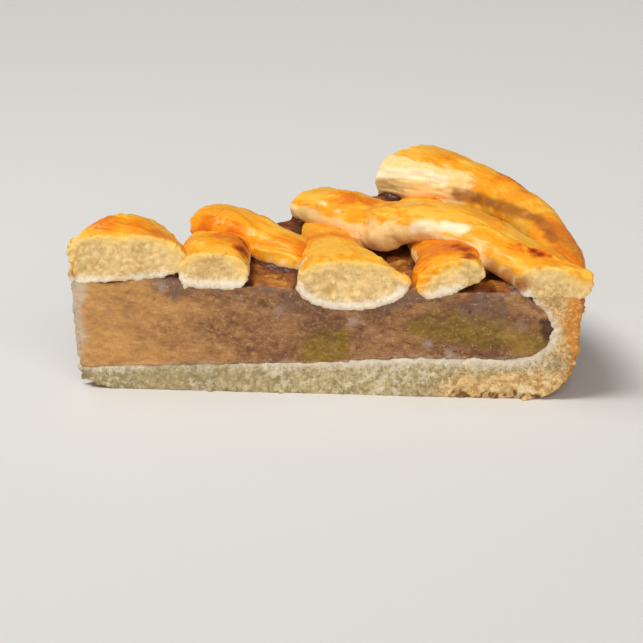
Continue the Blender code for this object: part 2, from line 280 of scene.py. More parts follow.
class Skin:
    """The finished surface over one solid, worked on as arrays of points in millimetres."""

    def __init__(self, node, detail, joined=()):
        self.node = node
        source = merged_copy(node)
        if joined:
            source = joined_copy((node, *joined), SEAM)
        work = bpy.data.objects.new("work", source)
        bpy.context.scene.collection.objects.link(work)
        remesh = work.modifiers.new("skin", "REMESH")
        remesh.mode = "VOXEL"
        remesh.voxel_size = detail * MM
        remesh.adaptivity = 0
        evaluated = work.evaluated_get(bpy.context.evaluated_depsgraph_get())
        self.mesh = bpy.data.meshes.new_from_object(evaluated)
        bpy.data.objects.remove(work)
        bpy.data.meshes.remove(source)
        self.mesh.shade_smooth()
        self.points = np.empty((len(self.mesh.vertices), 3), np.float32)
        self.mesh.vertices.foreach_get("co", self.points.ravel())
        self.points /= MM
        edges = np.empty(len(self.mesh.edges) * 2, np.int32)
        self.mesh.edges.foreach_get("vertices", edges)
        self.edges = edges.reshape(-1, 2)
        self.valence = np.bincount(self.edges.ravel(), minlength=len(self.points)).astype(np.float32)
        self.marks = {}
        faces = self.normals()
        near = near_cut_depth(self.points)
        far = far_cut_depth(self.points)
        edge = detail * CUT_EDGE
        self.near_cut = (near < edge) & (faces[:, 1] < -CUT_FACING)
        self.far_cut = (far < edge) & (faces @ FAR_WAY > CUT_FACING)
        self.point_cut = (self.points[:, 0] < POINT[0] + POINT_FLAT) & (faces @ POINT_WAY > POINT_FACING)
        self.cut = self.spread(self.near_cut | self.far_cut | self.point_cut, 2)

    def normals(self):
        """The direction that each point's surface faces."""
        self.mesh.vertices.foreach_set("co", (self.points * MM).astype(np.float32).ravel())
        self.mesh.update()
        ways = np.empty((len(self.points), 3), np.float32)
        self.mesh.vertex_normals.foreach_get("vector", ways.ravel())
        return ways

    def average(self, values):
        """Each point's mean of its neighbours' values."""
        first, second = self.edges[:, 0], self.edges[:, 1]
        columns = values.reshape(len(values), -1)
        means = np.empty_like(columns)
        for column in range(columns.shape[1]):
            data = columns[:, column]
            total = np.bincount(first, weights=data[second], minlength=len(data))
            total += np.bincount(second, weights=data[first], minlength=len(data))
            means[:, column] = total / self.valence
        return means.reshape(values.shape)

    def off_cuts(self):
        """1 away from the cuts, 0 in them and close to them."""
        return np.clip(1 - 1.6 * self.cut, 0, 1)

    def border(self):
        """1 along the edges of the cuts, 0 elsewhere."""
        return np.clip(4 * self.cut * (1 - self.cut), 0, 1)

    def spread(self, values, rounds):
        """Values blurred over the surface."""
        soft = np.asarray(values, np.float32)
        for _ in range(rounds):
            soft = 0.5 * soft + 0.5 * self.average(soft)
        return soft

    def relax(self, rounds, share=1.0):
        """Evens the surface out; share is how much each point takes part."""
        weight = np.broadcast_to(np.asarray(share, np.float32), (len(self.points),))[:, None]
        for _ in range(rounds):
            self.points += weight * 0.5 * (self.average(self.points) - self.points)

    def hollow(self, rounds):
        """Above 0 in creases, below 0 on ridges."""
        flat = self.points.copy()
        for _ in range(rounds):
            flat = 0.5 * flat + 0.5 * self.average(flat)
        return self.spread(np.sum((flat - self.points) * self.normals(), axis=1), 2)

    def push(self, amount, ways=None):
        """Moves the points out along their normals, or along ways, by amount millimetres."""
        moved = self.normals() if ways is None else ways
        self.points += (np.broadcast_to(amount, (len(self.points),))[:, None] * moved).astype(np.float32)

    def grow(self, amount):
        """Swells the surface, but not out of the cuts, so that it closes up with its neighbours."""
        ways = self.normals()
        cuts = ((self.near_cut, np.array((0, -1, 0), np.float32)), (self.far_cut, FAR_WAY))
        for mask, out in cuts:
            soft = np.clip(self.spread(mask, 3) * 3, 0, 1)
            ways = ways - (soft * np.clip(ways @ out, 0, 1))[:, None] * out
        self.push(amount, ways)

    def finish(self, material, slot):
        """The finished piece, riding in place of its solid."""
        np.maximum(self.points[:, 2], 0, out=self.points[:, 2])
        self.normals()
        for mark, values in self.marks.items():
            if values.ndim == 2:
                attribute = self.mesh.attributes.new(mark, "FLOAT_VECTOR", "POINT")
                attribute.data.foreach_set("vector", (values * MM).astype(np.float32).ravel())
            else:
                attribute = self.mesh.attributes.new(mark, "FLOAT", "POINT")
                attribute.data.foreach_set("value", np.clip(values, 0, 1).astype(np.float32))
        self.mesh.materials.clear()
        self.mesh.materials.append(material)
        piece = bpy.data.objects.new(self.node + "_skin", self.mesh)
        bpy.context.scene.collection.objects.link(piece)
        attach(piece, BODY)
        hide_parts(self.node)
        return piece


# Materials

class Value:
    """A socket of a material, on which arithmetic adds Math nodes."""

    def __init__(self, finish, socket):
        self.finish = finish
        self.socket = socket

    def maths(self, operation, *others):
        return self.finish.node("ShaderNodeMath", {"operation": operation}, [self, *others])

    def __add__(self, other):
        return self.maths("ADD", other)

    def __mul__(self, other):
        return self.maths("MULTIPLY", other)

    def __sub__(self, other):
        return self.maths("SUBTRACT", other)

    def __rsub__(self, other):
        return self.finish.node("ShaderNodeMath", {"operation": "SUBTRACT"}, [other, self])

    __radd__ = __add__
    __rmul__ = __mul__

    def step(self, start, end):
        """0 at start, 1 at end, smooth between them."""
        inputs = {"Value": self, "From Min": start, "From Max": end}
        return self.finish.node("ShaderNodeMapRange", {"interpolation_type": "SMOOTHSTEP"}, inputs, "Result")


class Finish:
    """A material under construction."""

    def __init__(self, name):
        self.material = bpy.data.materials.new(name)
        self.material.use_nodes = True
        self.tree = self.material.node_tree
        self.shader = next(n for n in self.tree.nodes if n.type == "BSDF_PRINCIPLED")
        self.place = self.node("ShaderNodeTexCoord", {}, {}, "Object")

    def node(self, kind, settings, inputs, output=0):
        """Adds a node: its settings first, then the values or links of its sockets."""
        made = self.tree.nodes.new(kind)
        for name, value in settings.items():
            setattr(made, name, value)
        pairs = inputs.items() if isinstance(inputs, dict) else enumerate(inputs)
        for key, value in pairs:
            self.feed(made.inputs[key], value)
        return Value(self, made.outputs[output])

    def feed(self, socket, value):
        """Links a value to a socket, or sets it there."""
        if isinstance(value, Value):
            self.tree.links.new(value.socket, socket)
        elif socket.type == "RGBA" and len(value) == 3:
            socket.default_value = (*value, 1)
        else:
            socket.default_value = value

    def mark(self, name):
        """One of the marks kept on the skin."""
        return self.node("ShaderNodeAttribute", {"attribute_name": name}, {}, "Fac")

    def noise(self, size, detail=3.0, roughness=0.5, distortion=0.0, stretch=(1, 1, 1), shift=(0, 0, 0),
              place=None):
        """Noise from 0 to 1 whose lumps are about size millimetres across."""
        scale = tuple(1 / (size * MM * part) for part in stretch)
        inputs = {"Vector": place or self.place, "Scale": scale, "Location": shift}
        place = self.node("ShaderNodeMapping", {}, inputs)
        inputs = {"Vector": place, "Scale": 1.0, "Detail": detail, "Roughness": roughness,
                  "Distortion": distortion}
        return self.node("ShaderNodeTexNoise", {}, inputs, "Fac")

    def mix(self, first, second, factor):
        """A colour between two colours."""
        made = self.tree.nodes.new("ShaderNodeMix")
        made.data_type = "RGBA"
        made.clamp_factor = True
        self.feed(made.inputs["Factor"], factor)
        self.feed(made.inputs[6], first)
        self.feed(made.inputs[7], second)
        return Value(self, made.outputs[2])

    def bump(self, height, distance, strength=1.0):
        """Fine relief, distance millimetres deep."""
        inputs = {"Height": height, "Distance": distance * MM, "Strength": strength}
        return self.node("ShaderNodeBump", {}, inputs)

    def set(self, **sockets):
        """Sets or links the shader's sockets; an underscore stands for a space."""
        for name, value in sockets.items():
            self.feed(self.shader.inputs[name.replace("_", " ")], value)
        return self.material


def uneven(middle, *weighted):
    """A value made uneven by noises around 0.5, each with its weight."""
    total = middle
    for noise, weight in weighted:
        total = total + (noise - 0.5) * weight
    return total


def dough_finish(look):
    """Baked shortcrust: brushed golden egg glaze, pale bare skin, and fine crumb where it is cut."""
    f = Finish("baked_dough")
    marks = ("cut", "glaze", "deep", "pale", "scorch", "raised", "warm", "smear", "stain", "white")
    cut, glaze, deep, pale, scorch, raised, warm, smear, stain, white = (f.mark(name) for name in marks)
    laid = f.node("ShaderNodeAttribute", {"attribute_name": "laid"}, {}, "Vector")
    tiny = f.noise(0.35, 2, 0.6)
    fine = f.noise(0.8, 4, 0.65)
    middling = f.noise(2.4, 4, 0.6)
    broad = f.noise(8.0, 3, 0.5)
    soft = f.noise(2.8, 1, 0.4, shift=(1.9, 0.6, 3.3))
    strokes = f.noise(0.9, 3, 0.6, place=laid)
    on_cut = uneven(cut, (fine, 0.9), (middling, 0.9)).step(0.22, 0.82)
    # Crumb tone varies at random, and raised crumb is painted lighter: painted highlight
    light = uneven(0.5, (tiny, 0.9), (fine, 1.6), (middling, 2.2), (broad, 2.0), (raised, 0.6))
    crumb = f.mix(look.crumb_shade, look.crumb_light, light)
    crumb = f.mix(crumb, look.crumb_gold, (uneven(warm * 1.9, (broad, 2.0), (middling, 1.4)) - 0.1) * 0.9)
    # Painted shade in small pores of the crumb, in the dips of its bump
    crumb = f.mix(crumb, look.pore_shade, uneven(0.5, (tiny, -0.8), (fine, -1.4)).step(0.76, 0.95) * 0.5)
    skin = f.mix(look.bare_shade, look.bare_skin, uneven(0.5, (middling, 2.0), (fine, 1.5)))
    # Deeper glaze where it pooled in creases, and painted shade where strips touch
    depth = uneven(deep, (strokes, 1.3), (broad, 0.6), (middling, 0.4))
    gold = f.mix(look.glaze_light, look.glaze_gold, depth.step(0.05, 0.5))
    gold = f.mix(gold, look.glaze_deep, depth.step(0.5, 1.1))
    brushed = uneven(glaze, (strokes, 0.9), (fine, 0.4)).step(0.2, 0.7)
    outside = f.mix(skin, gold, brushed)
    colour = f.mix(outside, crumb, on_cut)
    # Pale band where the filling steamed the dough, and painted light on the point's cut
    steamed = uneven(pale, (fine, 1.0), (middling, 0.7)).step(0.15, 1.1)
    colour = f.mix(colour, look.pale_band, steamed * 0.95)
    missed = uneven(white, (soft, 0.7), (fine, 0.45)).step(0.25, 0.85)
    colour = f.mix(colour, look.white_skin, missed * 0.9)
    colour = f.mix(colour, look.stained, uneven(stain, (fine, 1.2), (middling, 0.8)).step(0.3, 1.0) * 0.6)
    syrup = f.mix(look.smear_deep, look.smear, uneven(0.5, (soft, 2.2), (fine, 0.7), (strokes, 0.9), (broad, 1.5)))
    colour = f.mix(colour, syrup, uneven(smear, (soft, 0.8), (broad, 0.5)).step(0.1, 0.9) * 0.85)
    # Singed and scorched spots, with patches of painted shade where strips touch
    burnt = uneven(scorch, (fine, 0.6), (middling, 0.6))
    colour = f.mix(colour, look.singed, burnt.step(0.12, 0.5) * 0.85)
    colour = f.mix(colour, look.scorched, burnt.step(0.45, 0.9) * 0.95)
    glossy = brushed * (1 - on_cut)
    height = fine * (on_cut * 0.9 + 0.1) + tiny * on_cut * 0.4 + middling * 0.35 + strokes * glossy * 0.12
    return f.set(
        Base_Color=colour, Roughness=0.85 - glossy * 0.47 + (strokes - 0.5) * 0.4 * glossy,
        Coat_Weight=glossy * 0.13, Coat_Roughness=0.12, Normal=f.bump(height, 0.28, 0.85),
        Subsurface_Weight=0.08, Subsurface_Radius=(1.0, 0.5, 0.22), Subsurface_Scale=0.8 * MM,
        Specular_IOR_Level=0.12)


def crust_finish(look):
    """The base and wall: fine pale crumb in the cuts, rough and browned outside."""
    f = Finish("tin_baked_crust")
    marks = ("pale", "brown", "scorch", "raised", "warm", "damp", "stain")
    pale, brown, scorch, raised, warm, damp, stain = (f.mark(name) for name in marks)
    tiny = f.noise(0.35, 2, 0.6)
    fine = f.noise(0.8, 4, 0.7)
    coarse = f.noise(1.3, 3, 0.6, shift=(2.3, 4.1, 0.7))
    middling = f.noise(2.2, 4, 0.6)
    broad = f.noise(9.0, 3, 0.5)
    # Crumb tone varies at random, and raised crumb is painted lighter: painted highlight
    light = uneven(0.5, (tiny, 1.4), (fine, 2.6), (coarse, 2.2), (middling, 1.2), (raised, 0.8))
    crumb = f.mix(look.base_shade, look.base_light, light)
    crumb = f.mix(crumb, look.base_olive, uneven(damp, (broad, 1.6), (middling, 0.8)) * 0.65)
    golden = f.mix(look.warm_shade, look.base_warm, light)
    crumb = f.mix(crumb, golden, uneven(warm, (middling, 1.4), (fine, 0.8)).step(0.1, 1.0))
    chalky = uneven(0.5, (broad, 2.6), (middling, 2.4), (fine, 1.6), (coarse, 1.2))
    crumb = f.mix(crumb, look.base_white, chalky.step(0.55, 1.25) * 0.65)
    # Painted shade in small pores, in the dips of the bump
    pores = uneven(0.5, (tiny, -0.9), (fine, -1.4), (coarse, -0.8)).step(0.76, 1.0)
    crumb = f.mix(crumb, look.pore_shade, pores * 0.75)
    steamed = uneven(pale, (middling, 0.9), (fine, 0.9)).step(0.15, 1.05)
    colour = f.mix(crumb, look.base_film, steamed * 0.9)
    colour = f.mix(colour, look.stained, uneven(stain, (fine, 1.2), (middling, 0.8)).step(0.3, 1.0) * 0.55)
    # The toasted outside varies at random, and raised grains are painted lighter: painted highlight
    baked = uneven(0.5, (raised, 0.6), (middling, 1.4), (fine, 2.0), (tiny, 1.2))
    toasted = f.mix(look.toasted_deep, look.toasted, baked)
    # Painted highlights on the raised grains of the toasted outside
    lit_grains = uneven(0.5, (raised, 0.8), (fine, 1.4), (tiny, 1.0)).step(0.6, 0.95)
    toasted = f.mix(toasted, look.toasted_highlight, lit_grains * 0.7)
    colour = f.mix(colour, toasted, uneven(brown, (fine, 0.8), (middling, 0.9)).step(0.25, 0.85))
    colour = f.mix(colour, look.base_pit, uneven(scorch, (fine, 1.4), (coarse, 0.8)).step(0.35, 0.85) * 0.9)
    height = fine + tiny * 0.4 + middling * 0.5
    return f.set(
        Base_Color=colour, Roughness=0.85 + (fine - 0.5) * 0.2, Normal=f.bump(height, 0.32, 0.95),
        Subsurface_Weight=0.08, Subsurface_Radius=(1.0, 0.6, 0.3), Subsurface_Scale=0.8 * MM,
        Specular_IOR_Level=0.2)


def compote_finish(look, name):
    """Stewed apple: wet brown pulp in the cuts with paler, mauve and green parts, baked syrup on top."""
    f = Finish(name)
    marks = ("apple", "mauve", "amber", "dark_and_shade", "raised", "window", "pale", "lilac")
    apple, mauve, amber, dark_and_shade, raised, window, pale, lilac = (f.mark(mark) for mark in marks)
    tiny = f.noise(0.32, 2, 0.6)
    fine = f.noise(0.8, 4, 0.7, stretch=(1.5, 1.5, 1.0))
    middling = f.noise(2.4, 5, 0.65, 0.6, stretch=(1.6, 1.6, 0.9))
    broad = f.noise(9.0, 3, 0.55, 0.5, stretch=(1.5, 1.5, 0.8), shift=(3.1, 1.7, 5.2))
    flesh = f.noise(1.4, 5, 0.72, 1.0, stretch=(1.7, 1.7, 0.8), shift=(7.7, 2.1, 0.4))
    # Pulp tone varies at random, and raised pulp is painted lighter: painted highlight
    tone = uneven(0.5, (middling, 2.2), (broad, 2.2), (fine, 2.2), (raised, 0.5))
    pulp = f.mix(look.pulp_brown, look.pulp_tan, tone)
    pulp = f.mix(pulp, look.pulp_amber, uneven(amber, (flesh, 2.0), (broad, 1.2)) * 0.8)
    violet = uneven(mauve, (middling, 2.2), (fine, 1.2)).step(0.3, 1.0)
    pulp = f.mix(pulp, look.pulp_mauve, violet * 0.9)
    pulp = f.mix(pulp, look.pulp_lilac, uneven(broad, (flesh, 1.5)).step(0.62, 0.78) * violet * 0.6)
    fruit = f.mix(look.apple_shade, look.apple_flesh, uneven(0.5, (flesh, 1.8), (broad, 2.0), (fine, 1.2)))
    colour = f.mix(pulp, fruit, uneven(apple, (middling, 1.1), (fine, 0.5)).step(0.1, 1.05) * 0.92)
    clouded = uneven(lilac, (middling, 1.0), (fine, 0.8)).step(0.2, 1.0)
    colour = f.mix(colour, look.pulp_lilac, clouded * 0.8)
    # Pale fibres in the pulp, which also stand in for small wet glints: painted highlights
    specks_and_glints = uneven(0.5, (tiny, 1.2), (fine, 1.3)).step(0.64, 0.84)
    colour = f.mix(colour, look.pulp_specks_and_glints, specks_and_glints * 0.6)
    # Syrup thickness varies at random, and raised lumps are painted lighter: painted highlight
    thin = uneven(0.5, (middling, 2.6), (raised, 0.8), (flesh, 2.0), (amber, 0.8))
    clear = uneven(0.5, (flesh, 2.4), (fine, 1.6), (amber, 0.9)).step(0.6, 1.2)
    syrup = f.mix(look.syrup_shade, look.syrup, thin)
    syrup = f.mix(syrup, look.syrup_light, clear * 0.8)
    colour = f.mix(colour, syrup, uneven(window, (middling, 0.6)).step(0.2, 0.7))
    # The darkest syrup: painted shade under and beside the strips, a hole's painted shade on the near cut, and small
    # darker dots there
    shady = uneven(dark_and_shade, (middling, 0.8), (fine, 0.4)).step(0.3, 0.85)
    colour = f.mix(colour, look.syrup_dark_and_shade, shady * 0.9)
    filmy = uneven(pale, (fine, 0.7), (middling, 0.7)).step(0.15, 1.2)
    colour = f.mix(colour, look.pulp_film, filmy * 0.9)
    height = flesh * 0.7 + middling * 0.7 + fine * 0.9 + tiny * 0.4
    return f.set(
        Base_Color=colour, Roughness=0.42 + (flesh - 0.5) * 0.5 - dark_and_shade * 0.08,
        Coat_Weight=0.12 + window * 0.08, Coat_Roughness=0.2, Normal=f.bump(height, 0.4, 0.8),
        Subsurface_Weight=0.1, Subsurface_Radius=(1.0, 0.45, 0.2), Subsurface_Scale=1.0 * MM,
        Specular_IOR_Level=0.3)


# Pieces

Strip = namedtuple("Strip", "way seed glaze bare white glazed deep scorch smear lumps ridges",
                   defaults=((),) * 8)

STRIPS = {
    "tip_strip": Strip(
        way=(1, -0.15, 0), seed=11, glaze=0.5,
        bare=(Spot(-79.5, -30.5, 40, 2.6, 1.0), Spot(-79, -28, 38, 3, 0.9)),
        deep=(Spot(-69.5, -25.5, 41.9, 4.5, 0.8), Spot(-64, -25, 42, 5, 0.75), Spot(-57, -28, 40.4, 5, 0.75),
              Spot(-50.5, -26, 38, 4.5, 0.6)),
        smear=(Spot(-78.6, -32.2, 30.0, 1.3, 0.8),),
        lumps=(Spot(-79.3, -31.6, 35.5, 2.8, 1.0), Spot(-78.2, -31.5, 41.8, 2.6, -1.2),
               Spot(-67.5, -20, 43.2, 7, 1.1), Spot(-55, -19.5, 41, 7.5, -1.6), Spot(-59.5, -15, 41, 1.6, 1.1))),
    "short_strip": Strip(
        way=(0.86, -0.5, -0.1), seed=23, glaze=0.45,
        bare=(Spot(-27, -19, 29.6, 2.6, 1.0), Spot(-22.8, -20.3, 29.3, 3, 1.0),
              Spot(-31.5, -16.3, 30.3, 1.8, 0.6)),
        glazed=(Spot(-50, -6, 36.5, 4, 1), Spot(-46, -8.5, 35.8, 4.5, 1), Spot(-41, -12, 35.2, 4.5, 1),
                Spot(-36, -14, 34, 3.6, 1), Spot(-32, -15.6, 32.8, 2.6, 1), Spot(-28, -17.4, 32.6, 2.2, 1),
                Spot(-24, -19, 32.2, 2.0, 1)),
        deep=(Spot(-47.5, -7.4, 36.5, 5, 0.8), Spot(-41, -11.5, 36, 4, 0.7), Spot(-28, -13.5, 35, 4, 0.6),
              Spot(-44, -4, 40, 6, 0.5), Spot(-36, -8, 38.5, 4, 0.35),
              Spot(-22, -16, 33.4, 3.5, 0.6), Spot(-33, -14.5, 33.8, 2.5, 0.6)),
        lumps=(Spot(-43.2, -3.9, 40.5, 6, 0.5), Spot(-45, -10, 35.6, 4.0, 1.5)),
        ridges=((((-42.4, -4.6, 39.9), (-37.5, -8.1, 38.6), (-35.4, -10.3, 37.6), (-32.7, -11.7, 36.7),
                  (-29.0, -14.0, 35.4), (-25.0, -15.9, 34.3)), 1.0, 0.35),
                (((-34.5, -14.6, 33.8), (-32.3, -15.4, 33.2), (-28.7, -17.0, 33.1), (-25.2, -18.4, 32.8),
                  (-22.5, -19.5, 31.8)), 0.8, 0.55),
                (((-35.0, -13.4, 34.6), (-29.0, -15.8, 34.0), (-23.0, -17.8, 33.2)), 0.9, -0.4))),
    "cross_strip_point": Strip(
        way=(1, -0.2, -0.3), seed=37, glaze=0.6,
        deep=(Spot(-42, -18, 37, 6, 0.8), Spot(-46.5, -18.9, 37.7, 5, 0.45), Spot(-38.4, -22, 36.4, 3.5, 0.7)),
        scorch=(Spot(-37.0, -18.6, 36.3, 1.8, 1.0), Spot(-36.0, -20.0, 35.2, 1.8, 1.0),
                Spot(-37.0, -26.2, 35.8, 1.9, 1.0), Spot(-35.9, -24.6, 34.9, 2.0, 1.1),
                Spot(-36.0, -28.5, 34.2, 1.3, 0.8)),
        lumps=(Spot(-48.5, -24, 36.5, 4, 0.6),)),
    "cross_strip_middle": Strip(
        way=(0.45, -1, 0), seed=41, glaze=0.5,
        glazed=(Spot(5.4, -31.6, 30.9, 1.1, 0.6), Spot(3.6, -31.8, 32.4, 1.1, 0.7)),
        bare=(Spot(-20.8, -25.5, 31.8, 3.2, 0.9), Spot(-21.2, -30, 30.0, 3, 0.9), Spot(-13, -30.5, 35, 3.5, 0.4),
              Spot(2.5, -29.5, 31.5, 2.5, 0.7)),
        deep=(Spot(-16, -5, 35.2, 5.5, 1.0), Spot(-10.5, -5, 34.8, 5, 1.0), Spot(-6.5, -9, 34.6, 4, 1.0)),
        scorch=(Spot(-9.0, -1.5, 34.6, 1.0, 0.5),),
        lumps=(Spot(5.2, -31.0, 30.2, 1.5, 1.0), Spot(2.2, -29.0, 32.4, 1.3, 1.0), Spot(-1.2, -28, 33.8, 1.4, 0.6),
               Spot(-10, -24, 35.5, 7, 0.5), Spot(6.0, -30.6, 28.4, 1.2, 0.8), Spot(3.4, -29.5, 33.4, 2.8, -1.7))),
    "cross_strip_rim": Strip(
        way=(1, 0.1, 0), seed=53, glaze=0.7,
        glazed=(Spot(10.2, -29.5, 32.6, 2.8, 1), Spot(10.2, -31.8, 31.0, 1.8, 1), Spot(12.6, -32, 33.4, 1.9, 1),
                Spot(15.5, -32, 34.6, 1.6, 1), Spot(18.6, -32, 35.4, 1.4, 1), Spot(9.2, -26, 30.2, 3.6, 1),
                Spot(8.8, -22, 30.0, 3.6, 1), Spot(9.2, -30, 28.6, 2.4, 1)),
        deep=(Spot(14, -22, 36.5, 9, 1.3), Spot(9, -25, 32, 7, 1.1)),
        scorch=(Spot(17.9, -22.2, 36.9, 2.3, 0.9), Spot(20.0, -23.8, 36.8, 2.5, 1.0),
                Spot(22.0, -28.0, 36.0, 2.3, 1.0), Spot(21.0, -30.2, 35.9, 1.7, 0.8),
                Spot(15.4, -20.8, 36.7, 1.6, 0.6)),
        lumps=(Spot(14, -25, 36, 5, 0.5), Spot(9.0, -27.5, 29.5, 3.6, 1.7), Spot(24.2, -31, 32.2, 1.6, 0.7))),
    "long_strip": Strip(
        way=(0.82, -0.58, 0), seed=67, glaze=0.5,
        white=((((6.8, -10.2, 38.8), (11.4, -13.2, 39.8), (15.6, -15.3, 40.4), (19.6, -17.2, 40.1)), 2.3, 0.9),
               (((-20.6, 13.6, 38.9), (-18.4, 12.2, 39.1)), 1.0, 0.65),
               (((-15.4, 8.2, 38.2), (-14.2, 7.4, 38.2)), 0.9, 0.6),
               (((-24.8, 17.2, 38.1), (-24.0, 16.8, 38.3)), 0.8, 0.5)),
        bare=(Spot(-3.5, -2.5, 35.5, 4, 0.9), Spot(1, -6, 36.8, 4, 0.8), Spot(-8, 1.5, 34.2, 3.5, 0.8),
              Spot(-14, 5.5, 35, 3, 0.6), Spot(-22, 12.5, 35.2, 4, 0.7), Spot(24, -22, 36.5, 3.5, 0.7)),
        glazed=(Spot(50.5, -31.4, 33.0, 2.4, 1), Spot(47.5, -31.8, 34.0, 1.8, 0.9)),
        deep=(Spot(-12.2, 11.4, 40.8, 5, 0.9), Spot(-6.5, 10.5, 41, 4, 0.9), Spot(-1.5, 4.5, 41.2, 3, 0.9),
              Spot(-10, 4, 38.4, 3.5, 0.6), Spot(28, -20, 39, 4, 0.5), Spot(33, -23.5, 37.6, 4, 0.7),
              Spot(22, -6, 42, 6, 0.25), Spot(43, -27, 35.4, 5, 0.45)),
        scorch=(Spot(37.6, -24.4, 36.6, 1.7, 1.0), Spot(39.2, -25.4, 36.1, 1.7, 1.0),
                Spot(37.8, -26.2, 36.0, 1.3, 0.7), Spot(41.2, -25.6, 35.8, 1.2, 0.6),
                Spot(34.0, -22.6, 37.4, 1.2, 0.5)),
        smear=(Spot(27.0, -26.0, 32.0, 3.4, 0.8), Spot(31.0, -29.5, 31.0, 3.4, 1.0),
               Spot(34.5, -31.5, 29.8, 2.6, 1.0)),
        lumps=(Spot(-19.5, 12.8, 39.0, 1.4, 0.7), Spot(-14.9, 7.8, 38.2, 1.2, 0.6), Spot(-3.6, -0.7, 39.6, 3, 0.9),
               Spot(-13.5, 15.5, 42, 3.2, 0.9), Spot(-15.4, 18.5, 42, 1.0, 1.0), Spot(0.5, -5, 37.5, 5, 0.4),
               Spot(52.0, -31.2, 33, 1.7, 2.0), Spot(-27.4, 19, 36.4, 1.6, 0.8), Spot(-2.5, -3.5, 33.4, 4.5, 2.8),
               Spot(-7.5, 0.5, 33.0, 3.5, 1.0)),
        ridges=((((-8.0, 10.5, 41.0), (-5.1, 7.7, 40.9), (-1.1, 4.3, 41.1), (2.5, -1.9, 41.8)), 0.9, -0.55),
                (((-3.4, -3.4, 36.2), (-1.3, -4.1, 38.3), (0.5, -4.2, 40.0), (2.2, -2.6, 41.4)), 0.8, -0.5),
                (((22.0, -16.8, 40.8), (26.3, -17.3, 40.2), (28.6, -18.6, 39.5), (30.7, -20.3, 38.7),
                  (32.8, -22.0, 37.9), (36.6, -24.6, 36.7)), 0.8, 0.4),
                (((41, -24, 36.6), (46, -28, 35.0), (51, -31, 33.6)), 0.9, 0.35))),
    "rim_strip": Strip(
        way=(1, 0, 0), seed=79, glaze=0.55,
        white=((((-6.5, 41, 41.2), (-1.1, 38.8, 42.0), (3.4, 37.2, 42.2), (7.9, 35.7, 41.9), (12, 34, 41.0)),
                2.0, 0.9),),
        deep=(Spot(30, 24, 43, 10, 0.5), Spot(10, 38, 43, 9, 0.35), Spot(8, 33.5, 38.5, 4, 0.8),
              Spot(46, -8, 37, 10, 0.9), Spot(49, -18, 33, 9, 0.8)),
        scorch=(Spot(28.5, 33.2, 43.6, 2.0, 0.75), Spot(32.0, 30.2, 43.0, 2.0, 0.8), Spot(35.0, 27.0, 42.4, 2.4, 1.0),
                Spot(37.6, 23.6, 41.6, 2.0, 0.9)),
        smear=(Spot(47.5, -13, 36.0, 7, 0.55),),
        lumps=(Spot(40, 12, 41, 4, 0.5),),
        ridges=((((40, 22, 41.4), (43.5, 12, 40), (46.5, 2, 38.2)), 1.0, 0.5),)),
}


# Syrup along the foot of the rim strip, and where its thick chunk ends, from the far cut inwards
CRESCENT = ((15.6, 30.8, 38.3), (21.4, 25.9, 38.4), (27.5, 18.2, 38.6), (33.6, 9.2, 38.7), (38.4, 1.8, 38.5),
            (41.0, -5.0, 37.5), (42.6, -11.2, 36.4))
CRESCENT_WIDTH = 1.9
CHUNK_END = (36, 20)


def rim_way_points(points):
    """Points laid out along the rim, so that noise can follow it."""
    angle = np.arctan2(points[:, 1] - POINT[1], points[:, 0] - POINT[0])
    return np.stack([angle * RIM_STRIP_RADIUS, from_point(points), points[:, 2]], axis=1)


def crumb_relief(crumbs, grain, flakes):
    """The uneven face of cut dough."""
    return 0.5 * (crumbs - 0.4) + 0.4 * grain + 0.4 * (flakes - 0.2)


